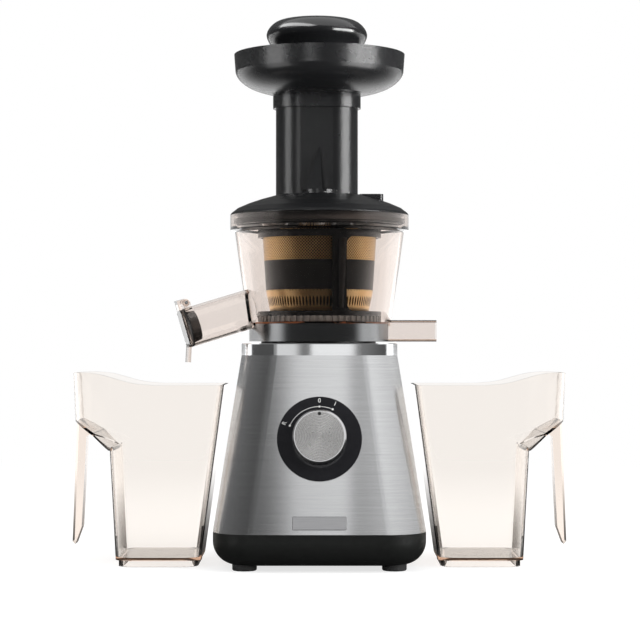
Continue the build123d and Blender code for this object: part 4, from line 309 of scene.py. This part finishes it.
# %% Boxes beside the tube
METALS = ("steel_shell", "chrome_ring", "bowl_skirt", "badge_plate", "knob_face", "knob_body")
CLEAR = ("juice_bowl", "tap_cap", "juice_jug", "pulp_jug")
INSIDE = ("wiper_frame", "wiper_ring_gear", "strainer_frame", "strainer_mesh", "wiper_blades")
TUBE = (0, 0, 0.32)
light_group(
    "mouldings", METALS + CLEAR + INSIDE + ("pusher_cap",), "EXCLUDE",
    soft_box("box_right", 5.6, (40, 82), (-8, 34), TUBE),
    soft_box("box_left", 2.4, (-76, -46), (-8, 34), TUBE),
    soft_box("strip_front_left", 1.6, (-17, -7), (-12, 30), TUBE),
)

# %% [markdown]
# ## Lamps for the cap, the tray and the knob
# The cap is a dome and mirrors more of the room than a wall does, so it gets three boxes of its
# own. The tray's rounded underside looks down, where no lamp of the tube reaches it, and gets two
# low ones close by. One box high in front makes the sweep of light on the turned knob. The last box
# is wide, overhead and hidden from mirrored rays: it only lifts the light on everything that looks
# up.

# %% Boxes for single pieces
CAP, TRAY, KNOB, MIDDLE = (0, 0, 0.4), (0, 0, 0.36), (0, 0, 0.1), (0, 0, 0.2)
light_group(
    "cap", ("pusher_cap",), "INCLUDE",
    soft_box("cap_right", 11.0, (40, 92), (-14, 16), CAP),
    soft_box("cap_left", 6.0, (-100, -24), (42, 64), CAP),
    soft_box("cap_top", 0.9, (-60, 60), (45, 125), CAP),
)
light_group(
    "tray", ("hopper_tray",), "INCLUDE",
    soft_box("tray_right", 3.6, (40, 82), (-38, -9), TRAY, far=0.5),
    soft_box("tray_left", 1.5, (-76, -46), (-38, -9), TRAY, far=0.5),
)
light_group(
    "knob", ("knob_face", "knob_body"), "INCLUDE",
    soft_box("sweep", 4.5, (14, 38), (40, 64), KNOB),
)
box_high = soft_box("box_high", 1.2, (-60, 60), (60, 100), MIDDLE)
box_high.visible_glossy = False

# %% [markdown]
# ## Tents
# Polished and brushed metal is a picture of the room, and lamps alone would leave it black between
# them. A studio puts a tent of white cloth round such a piece. Each metal gets one here: a glowing
# wall round the machine, brighter and darker by direction, which only mirrored rays see and which
# is linked to its own pieces. Walls in one place would hide each other, so every tent has its own
# radius.


# %% A glowing wall for mirrored rays
BRIGHTEST = 4.0


def tent(name, members, radius, low, high, levels):
    """A round wall. Its levels are pairs of a turn from the front, in degrees, and a brightness."""
    mesh = bpy.data.meshes.new(name)
    form = bmesh.new()
    bmesh.ops.create_circle(form, radius=radius, segments=96)
    bmesh.ops.translate(form, verts=form.verts, vec=(0, 0, low))
    wall = bmesh.ops.extrude_edge_only(form, edges=form.edges)
    top = [v for v in wall["geom"] if isinstance(v, bmesh.types.BMVert)]
    bmesh.ops.translate(form, verts=top, vec=(0, 0, high - low))
    form.to_mesh(mesh)
    piece = bpy.data.objects.new(name, mesh)
    bpy.context.scene.collection.objects.link(piece)
    look = Finish(name, BLACK, 1.0)
    x, y, z = look.parts(look.place())
    share = x.math("ARCTAN2", y * -1) * (0.5 / pi) + 0.5
    ramp = look.node("ShaderNodeValToRGB", {}, {"Fac": share})
    stops = ramp.socket.node.color_ramp.elements
    for turn, _ in levels[1:-1]:
        stops.new(turn / 360 + 0.5)
    for stop, (turn, level) in zip(stops, levels):
        stop.position, stop.color = turn / 360 + 0.5, [level / BRIGHTEST] * 3 + [1]
    clear = look.node("ShaderNodeBsdfTransparent", {}, {"Color": WHITE})
    both = look.node("ShaderNodeAddShader", {}, {0: clear, 1: look.glow(BRIGHTEST, ramp)})
    look.show("Surface", both)
    look.material.cycles.emission_sampling = "NONE"
    mesh.materials.append(look.material)
    for kind in ("camera", "diffuse", "transmission", "volume_scatter", "shadow"):
        setattr(piece, "visible_" + kind, False)
    light_group(name, members, "INCLUDE", piece)
    print(name, "with", len(levels), "levels for", ", ".join(members))


# %% [markdown]
# ## Levels of the tents
# The shell's tent is dark on the left and bright in front, with a dark line between two bright
# bands on the right, which the slightly crowned sheet spreads over its faces. The chrome ring gets
# hard black bands, the satin skirt a dark middle between two bright sides, and the bowl bright
# sides only, which draw its upright edges.

# %% The four tents
tent(
    "shell_tent", ("steel_shell", "badge_plate", "knob_face", "knob_body"), 2.0, 0.02, 7.0,
    ((-180, 0.14), (-99, 0.15), (-39, 0.06), (-30, 0.14), (-22, 0.17), (-16, 0.4), (-9, 1.0),
     (7.5, 1.12), (9.3, 1.2), (12, 1.15), (13, 0.48), (18.4, 0.6), (28, 0.88), (36, 1.16),
     (66, 1.0), (103, 0.8), (150, 0.4), (180, 0.35)),
)
tent(
    "ring_tent", ("chrome_ring",), 2.1, 0.01, 3.0,
    ((-180, 0.25), (-164, 0.25), (-119, 0.3), (-115, 1.2), (-92, 1.2), (-88, 0.02), (-28, 0.02),
     (-22, 0.3), (-17, 0.65), (-9, 0.65), (-8, 0.12), (-3.6, 0.1), (-3, 0.85), (13.5, 0.85),
     (15, 0.15), (80, 0.02), (86, 0.06), (89, 1.2), (113, 1.2), (118, 0.3), (180, 0.25)),
)
tent(
    "skirt_tent", ("bowl_skirt",), 1.9, 0.01, 3.0,
    ((-180, 0.4), (-130, 0.45), (-104, 0.9), (-70, 1.3), (-56, 0.0), (60, 0.0), (74, 1.2),
     (104, 0.9), (130, 0.45), (180, 0.4)),
)
tent(
    "bowl_tent", ("juice_bowl", "tap_cap"), 0.6, 0.005, 0.9,
    ((-180, 0.6), (-92, 0.6), (-50, 0.02), (50, 0.02), (92, 0.7), (180, 0.7)),
)

# %% [markdown]
# ## Floor
# White paint under studio light comes out grey, or needs more light than the machine can take. So a
# part of the floor's white is its own glow and the rest is paint, which still takes the machine's
# shadow. Farther out it fades into plain white, as the room behind it. Mirrored rays see another
# floor, dark in front of the machine and brighter behind it, so that steel and gloss keep their
# depth.


# %% The floor
def make_floor(radius, emission, paint):
    mesh = bpy.data.meshes.new("floor")
    form = bmesh.new()
    bmesh.ops.create_circle(form, cap_ends=True, radius=radius, segments=64)
    form.to_mesh(mesh)
    floor = bpy.data.objects.new("floor", mesh)
    bpy.context.scene.collection.objects.link(floor)
    look = Finish("floor_white", (paint, paint, paint), 0.9, specular_ior_level=0.0)
    x, y, z = look.parts(look.place())
    passing = look.path("Is Camera Ray", "Is Transmission Ray")
    own_light = look.glow(passing * emission)
    near = look.node("ShaderNodeAddShader", {}, {0: look.principled, 1: own_light})
    far = (x * x + y * y).math("SQRT").ramp(0.45, 1.3)
    white = look.glow(passing * 0.5 + 0.5)
    faded = look.node("ShaderNodeMixShader", {}, {0: far, 1: near, 2: white})
    beside = x.math("ABSOLUTE").ramp(0.12, 0.4, 0.0, 0.9) * y.ramp(-0.5, -0.1)
    through = beside * look.path("Is Transmission Ray")
    level = y.ramp(0.0, 1.1, 0.04, 1.3).math("MAXIMUM", through)
    mirrored = look.path("Glossy Depth").math("MINIMUM", 1)
    seen = look.node("ShaderNodeMixShader", {}, {0: mirrored, 1: faded, 2: look.glow(level)})
    look.show("Surface", seen)
    mesh.materials.append(look.material)


make_floor(radius=14.0, emission=0.72, paint=0.36)
print("floor made")

# %% [markdown]
# ## Steel shell
# The shell is brushed level with the floor: long fine streaks that run round it. A scratched
# picture would stretch at the corners, so the streaks are a noise pulled out along x and y, which
# drives colour, roughness and a shallow relief. Pressed sheet is never quite flat either, so a
# broad crown is added to the relief, and it spreads the reflection of the tent into upright bands.


# %% Brushed sheet
CROWN = 2.2  # fall of pressed sheet from the middle, per metre


def brushed_shell():
    steel = Finish("brushed_shell", (0.6, 0.6, 0.61), 0.3, metallic=1.0, anisotropic=0.8)
    steel.set("Anisotropic Rotation", 0.25)
    x, y, z = steel.parts(steel.place())
    streaks = steel.noise(1.0, 3.0, (12, 12, 1500))
    hairs = steel.noise(1.0, 2.0, (60, 60, 3600))
    lines = streaks * 0.6 + hairs * 0.4
    steel.set("Base Color", steel.mix(lines, (0.48, 0.485, 0.495), (0.73, 0.735, 0.74)))
    steel.set("Roughness", lines * 0.08 + 0.2)
    crown = (x * x + y * y) * -CROWN
    steel.relief(crown + lines * 0.000008)
    return steel


dress(brushed_shell(), "steel_shell")

# %% [markdown]
# ## Polished and turned metal
# Chrome ring, satin skirt, shafts, screws and gears all come off a lathe or a polishing wheel,
# which leaves fine rings round the upright axis. One function with a colour and a roughness serves
# them all: its noise is pulled out so far along x and y that only rings are left.


# %% Metal with rings
def turned_metal(name, colour, roughness, rings=0.00001, crown=0.0):
    metal = Finish(name, colour, roughness, metallic=1.0)
    metal.set("Anisotropic Rotation", 0.25)
    rings_noise = metal.noise(1.0, 2.0, (25, 25, 2500))
    cloud = metal.noise(60.0, 3.0)
    metal.set("Roughness", rings_noise * 0.08 + cloud * 0.05 + (roughness - 0.06))
    x, y, z = metal.parts(metal.place())
    metal.relief(rings_noise * rings - (x * x + y * y) * crown)
    return metal


dress(turned_metal("chrome_trim", (0.88, 0.89, 0.9), 0.09, 0.000001, CROWN), "chrome_ring")
dress(turned_metal("satin_collar", (0.32, 0.325, 0.33), 0.22), "bowl_skirt")
dress(turned_metal("shaft_steel", (0.65, 0.65, 0.66), 0.25), "switch_spindle", "motor_shaft",
      "compound_arbor", "drive_shaft", "idler_pin", "tap_pin", "auger_socket")
dress(turned_metal("screw_steel", (0.6, 0.6, 0.6), 0.3), "base_screws", "gearbox_screws",
      "motor_screws")
dress(turned_metal("gear_steel", (0.5, 0.5, 0.51), 0.35), "motor_pinion", "compound_gear",
      "output_gear")
dress(turned_metal("motor_steel", (0.55, 0.56, 0.56), 0.32), "motor_can")
dress(turned_metal("bronze", (0.6, 0.4, 0.2), 0.4), "output_bearing", "motor_bushes",
      "auger_bearing")
dress(turned_metal("armature_iron", (0.3, 0.29, 0.28), 0.45), "armature")

# %% [markdown]
# ## Black mouldings
# All that is black is the same plastic out of differently polished moulds. The cap, the dial and
# the wiper shine most, lid, tray, stem and strainer are satin, and pan and deck are dull. A
# moulding's gloss is never even, and one plain value of roughness would show it: so broad soft
# clouds vary the roughness, and all but the lid, the cap and the dial have a fine grain in their
# relief.


# %% Plastic from a mould
JET = (0.0075, 0.0078, 0.0085)
GRAINS_PER_METRE = 1 / 0.0003


def plastic(name, colour, roughness, grain=0.0, clouds=0.05, **constants):
    look = Finish(name, colour, roughness, **constants)
    cloud = look.noise(45.0, 3.0)
    look.set("Roughness", cloud * clouds * 2 + (roughness - clouds))
    lighter = [c * 1.35 + 0.002 for c in colour]
    look.set("Base Color", look.mix(look.noise(220.0, 2.0), colour, lighter))
    if grain:
        look.relief(look.noise(GRAINS_PER_METRE, 2.0) * grain)
    return look


dress(plastic("lid_black", JET, 0.28, clouds=0.02, specular_ior_level=0.75), "lid")
dress(plastic("cap_black", JET, 0.17, clouds=0.02, specular_ior_level=0.75), "pusher_cap")
dress(plastic("tray_black", JET, 0.27, 0.000004, 0.03, specular_ior_level=0.8), "hopper_tray")
dress(plastic("pusher_black", JET, 0.3, 0.000004), "pusher_stem")
dress(plastic("dial_black", (0.012, 0.012, 0.014), 0.12, clouds=0.02), "dial_ring")
dress(plastic("black_base", (0.009, 0.0095, 0.009), 0.4, 0.00001, specular_ior_level=0.2),
      "base_pan")
dress(plastic("black_deck", JET, 0.35, 0.00001), "top_deck")
dress(plastic("strainer_black", JET, 0.3, 0.000004), "strainer_frame")
dress(plastic("wiper_black", JET, 0.16, 0.000002, 0.02), "wiper_frame")
dress(plastic("auger_black", (0.01, 0.01, 0.01), 0.3, 0.000004), "auger")
dress(plastic("marker_black", (0.01, 0.01, 0.01), 0.4, 0.000005), "knob_marker")

# %% [markdown]
# ## Inner mouldings
# The wiper's gears are of a grey plastic that runs well dry. Switch, fan, gearbox, magnets and
# brushes have the plain look of parts that nobody sees. A shader of their own would be wasted on
# them, so they take the same function with other colours.

# %% Gears, gearbox and motor parts
dress(plastic("ring_gear_grey", (0.3, 0.29, 0.28), 0.4, 0.00001), "wiper_ring_gear",
      "wiper_idler_gear", "auger_gear")
dress(plastic("switch_plastic", (0.03, 0.03, 0.03), 0.5, 0.00001), "rotary_switch")
dress(plastic("fan_plastic", (0.08, 0.08, 0.08), 0.5, 0.00001), "cooling_fan")
dress(plastic("gearbox_grey", (0.32, 0.33, 0.34), 0.5, 0.00002), "gearbox_lower", "gearbox_upper")
dress(plastic("magnet_dark", (0.06, 0.06, 0.065), 0.6, 0.00003), "motor_magnets")
dress(plastic("carbon", (0.03, 0.03, 0.03), 0.7, 0.00003), "motor_brushes")

# %% [markdown]
# ## Rubber and silicone
# Feet, gland and seals are black too, but nearly matt. Rubber is the same function with a high
# roughness and a deeper relief, and silicone lies between rubber and the mouldings.

# %% Feet, gland and seals
dress(plastic("foot_rubber", (0.018, 0.018, 0.018), 0.75, 0.00004), "rubber_feet")
dress(plastic("gland_rubber", (0.018, 0.018, 0.018), 0.7, 0.00003), "cord_gland")
dress(plastic("silicone_black", (0.016, 0.016, 0.016), 0.5, 0.00001), "shaft_seal", "bowl_seal",
      "pulp_gate", "lid_gasket")
dress(plastic("tap_silicone", (0.014, 0.014, 0.014), 0.4, 0.00001), "tap_seal")
dress(plastic("blade_silicone", (0.03, 0.03, 0.03), 0.5, 0.00001), "wiper_blades")

# %% [markdown]
# ## Control board
# A circuit board is green lacquer over copper tracks. Modelling the tracks would be a lot of work
# for a hidden piece, so a Brick texture draws them: its joints are the tracks.


# %% The board
def board_green():
    board = Finish("board_green", (0.02, 0.16, 0.07), 0.35)
    tracks = board.node(
        "ShaderNodeTexBrick",
        {"offset": 0.37},
        {"Vector": board.place((1, 1, 0)), "Scale": 160.0, "Mortar Size": 0.05,
         "Color1": (0.015, 0.13, 0.06), "Color2": (0.02, 0.17, 0.075), "Mortar": (0.05, 0.3, 0.13)},
    )
    board.set("Base Color", tracks)
    board.relief(board.noise(900.0, 2.0) * 0.00002)
    return board


dress(board_green(), "control_board")

# %% [markdown]
# ## Knob
# The dial leans back with the face of the shell. Its knob is turned from aluminium, and the rings
# of the lathe run round the knob's own axis, not round the machine's. So the pattern is worked out
# in the dial's frame: a Mapping node takes the dial's centre as its origin and lays the dial's
# plane level. Cutting the rings into the mesh would take many thousands of faces for what a relief
# shows as well.


# %% The knob's metal
DIAL_PLACE = Vector((0, -67.126, 96.0)) * MM
DIAL_TILT = radians(81.023)


def spun_metal(name, colour, roughness, rings_per_metre, depth):
    metal = Finish(name, colour, roughness, metallic=1.0)
    x, y, z = metal.parts(metal.place(origin=DIAL_PLACE, turn=(DIAL_TILT, 0, 0)))
    radius = (x * x + y * y).math("SQRT")
    waves = (radius * (2 * pi * rings_per_metre)).math("SINE")
    wander = metal.noise(400.0, 2.0)
    metal.set("Roughness", wander * 0.1 + (roughness - 0.05))
    metal.set("Base Color", metal.mix(waves * 0.5 + 0.5, [c * 0.72 for c in colour], colour))
    metal.relief(waves * depth)
    return metal


dress(spun_metal("knob_spun", (0.46, 0.455, 0.45), 0.27, 900, 0.000035), "knob_face")
dress(spun_metal("knob_metal", (0.74, 0.74, 0.75), 0.2, 1000, 0.000002), "knob_body")

# %% [markdown]
# ## Badge plate
# Low on the front sits a small stamped plate with a satin face. It is blank. It could share the
# shell's finish, but it would vanish in it: a darker, coarser brushing sets it off.


# %% The plate's metal
def badge_steel():
    plate = Finish("badge_steel", (0.5, 0.5, 0.51), 0.35, metallic=1.0)
    streaks = plate.noise(1.0, 3.0, (40, 40, 2400))
    plate.set("Base Color", plate.mix(streaks, (0.29, 0.29, 0.3), (0.53, 0.53, 0.54)))
    plate.set("Roughness", streaks * 0.2 + 0.25)
    plate.relief(streaks * 0.00002)
    return plate


dress(badge_steel(), "badge_plate")

# %% [markdown]
# ## Gold strainer
# The strainer's sieve is etched sheet with a tight grid of round holes, and slots below them. Real
# holes would be thousands of faces behind a clear wall, so the grid is a pattern of waves in the
# angle round the axis and in the height: two slanting waves multiplied make the holes, and a level
# wave times an upright one the slots. The holes are painted a dark brown, a painted shade for the
# dark inside of the strainer, where the black auger stands.


# %% The sieve
AROUND, UPWARDS = 19 * pi, 440 * pi  # pace of the holes' waves, per radian and per metre
SLOTS_BELOW = 205 * MM


def gold_mesh():
    gold = Finish("gold_mesh", (0.72, 0.42, 0.13), 0.32, metallic=1.0)
    x, y, z = gold.parts(gold.place())
    across, up = y.math("ARCTAN2", x) * AROUND, z * UPWARDS
    dots = (up + across).math("SINE") * (up - across).math("SINE")
    slots = (across * 0.8).math("SINE") * (up * 0.2 + 0.6).math("SINE")
    lower = z.ramp(SLOTS_BELOW - MM, SLOTS_BELOW + MM, 1.0, 0.0)
    dots, slots = dots.math("ABSOLUTE"), slots.math("ABSOLUTE")
    hole = (lower * (slots - dots) + dots).ramp(0.35, 0.75)
    glow = gold.noise(90.0, 2.0)
    sheet = gold.mix(glow, (0.78, 0.47, 0.2), (1.0, 0.74, 0.4))
    # Painted shade: holes and slots take a dark brown for the dark inside seen through them.
    gold.set("Base Color", gold.mix(hole, sheet, (0.08, 0.04, 0.01)))
    gold.set("Roughness", glow * 0.15 + 0.25)
    gold.relief((1 - hole) * 0.0001)
    return gold


dress(gold_mesh(), "strainer_mesh")

# %% [markdown]
# ## Clear plastic
# Bowl, cap of the spout and jugs are tinted clear plastic. A thin see-through sheet with one colour
# would be enough for a bag, but these walls are real solids: light is bent at both faces, and the
# tint is in the body of the plastic, so the long way through an edge is darker than the short way
# through a face. A wall seen edge on is also painted a darker face colour, a painted shade for its
# dark edges. Rays to the lamps pass straight, tinted a little. The jugs' plastic bends light less,
# because their large flat walls would else mirror too much.


# %% Bowl, spout cap and jugs
# A darker brown face colour for walls seen edge on: painted shade for their dark edges.
EDGE_SHADE = (0.42, 0.34, 0.28)


def clear_plastic(name, face, body, density, shade, ior):
    """Face tints at each wall, body by the way through it, and shade the lamps' light."""
    look = Finish(name, face, 0.02, transmission_weight=1.0, ior=ior)
    look.set("Roughness", look.noise(70.0, 2.0) * 0.02 + 0.01)
    look.relief(look.noise(45.0, 1.0) * 0.00006)
    # Painted shade: the face colour turns darker where the wall is seen edge on.
    edge_shade_share = look.node("ShaderNodeLayerWeight", {}, {"Blend": 0.5}, "Facing").ramp(0.66, 0.98)
    look.set("Base Color", look.mix(edge_shade_share, face, EDGE_SHADE))
    open_side = look.node("ShaderNodeBsdfTransparent", {}, {"Color": shade})
    to_lamp = look.path("Is Shadow Ray")
    both = look.node("ShaderNodeMixShader", {}, {0: to_lamp, 1: look.principled, 2: open_side})
    look.show("Surface", both)
    tint = look.node("ShaderNodeVolumeAbsorption", {}, {"Color": body, "Density": density})
    look.show("Volume", tint)
    return look


BOWL = ((0.965, 0.935, 0.918), (0.64, 0.42, 0.26), 50.0, (0.95, 0.88, 0.84), 1.49)
JUG = ((1, 0.986, 0.968), (0.86, 0.6, 0.4), 24.0, (0.97, 0.94, 0.91), 1.35)
dress(clear_plastic("clear_bowl", *BOWL), "juice_bowl")
dress(clear_plastic("clear_tap", *BOWL), "tap_cap")
dress(clear_plastic("clear_jug", *JUG), "juice_jug", "pulp_jug")

# %% [markdown]
# ## Printed marks of the dial
# White ink on the gloss dial: three dots, the arc that joins them, and the characters 0, I and R. A
# pattern in the dial's material could draw dots and arc but no characters, so all the marks are one
# mesh. Ink has hardly any thickness, so each form is flat and raised by a few hundredths of a
# millimetre: a capped circle for a dot, a spun oblong for the arc, and text turned into a mesh.

# %% Places on the dial
DIAL_FRAME = Matrix.Translation(DIAL_PLACE) @ Matrix.Rotation(DIAL_TILT, 4, "X")
DIAL_FACE = 1.6 * MM
INK = 0.04 * MM
DOT_RING, CHARACTER_RING = 23.4 * MM, 27.7 * MM
DOT_RADIUS, ARC_WIDE, CHARACTER_TALL = 0.75 * MM, 0.35 * MM, 3.0 * MM
CAPITAL_SHARE = 0.69  # a capital's height in the font's size
STOPS = {"R": 66.0, "0": 0.0, "I": -24.0}  # degrees to the left of straight up


def on_ring(radius, left_of_up):
    angle = radians(left_of_up)
    return Vector((-radius * sin(angle), radius * cos(angle), DIAL_FACE))


# %% Dots, arc and characters
def add_disc(form, radius, centre):
    made = bmesh.ops.create_circle(form, cap_ends=True, radius=radius, segments=24)
    bmesh.ops.translate(form, verts=made["verts"], vec=centre)
    rim = bmesh.ops.extrude_face_region(form, geom=list(made["verts"][0].link_faces))
    top = [v for v in rim["geom"] if isinstance(v, bmesh.types.BMVert)]
    bmesh.ops.translate(form, verts=top, vec=(0, 0, INK))


def add_arc(form, radius, wide, start, end):
    """A thin band round the dial's axis: a small upright oblong spun through the angle."""
    inner, outer = radius - wide / 2, radius + wide / 2
    low, high = DIAL_FACE, DIAL_FACE + INK
    corners = ((inner, low), (outer, low), (outer, high), (inner, high))
    ring = [form.verts.new((0, r, h)) for r, h in corners]
    turn = Matrix.Rotation(radians(start), 3, "Z")
    bmesh.ops.rotate(form, verts=ring, cent=(0, 0, 0), matrix=turn)
    face = form.faces.new(ring)
    bmesh.ops.spin(
        form, geom=[face, *face.edges, *ring], cent=(0, 0, 0), axis=(0, 0, 1),
        angle=radians(end - start), steps=40, use_merge=False,
    )


def add_character(form, letter, left_of_up, tall):
    curve = bpy.data.curves.new("letter", "FONT")
    curve.body, curve.align_x, curve.align_y = letter, "CENTER", "CENTER"
    curve.size, curve.extrude = tall / CAPITAL_SHARE, INK / 2
    holder = bpy.data.objects.new("letter", curve)
    mesh = bpy.data.meshes.new_from_object(holder)
    turn = Matrix.Rotation(radians(left_of_up), 4, "Z")
    mesh.transform(Matrix.Translation(on_ring(CHARACTER_RING, left_of_up)) @ turn)
    form.from_mesh(mesh)
    bpy.data.objects.remove(holder)
    bpy.data.curves.remove(curve)


# %% The marks as one piece
marks = bmesh.new()
for letter, left_of_up in STOPS.items():
    add_disc(marks, DOT_RADIUS, on_ring(DOT_RING, left_of_up))
    add_character(marks, letter, left_of_up, CHARACTER_TALL)
add_arc(marks, DOT_RING, ARC_WIDE, STOPS["I"], STOPS["R"])
bmesh.ops.recalc_face_normals(marks, faces=marks.faces)
bmesh.ops.transform(marks, verts=marks.verts, matrix=DIAL_FRAME)
marks_mesh = bpy.data.meshes.new("dial_marks")
marks.to_mesh(marks_mesh)
dial_marks = bpy.data.objects.new("dial_marks", marks_mesh)
bpy.context.scene.collection.objects.link(dial_marks)
print("dial marks:", len(marks_mesh.polygons), "faces")

# %% The ink
ink = plastic("ink_white", (0.6, 0.6, 0.59), 0.45, 0.000003)
marks_mesh.materials.append(ink.material)
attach(dial_marks, "base")
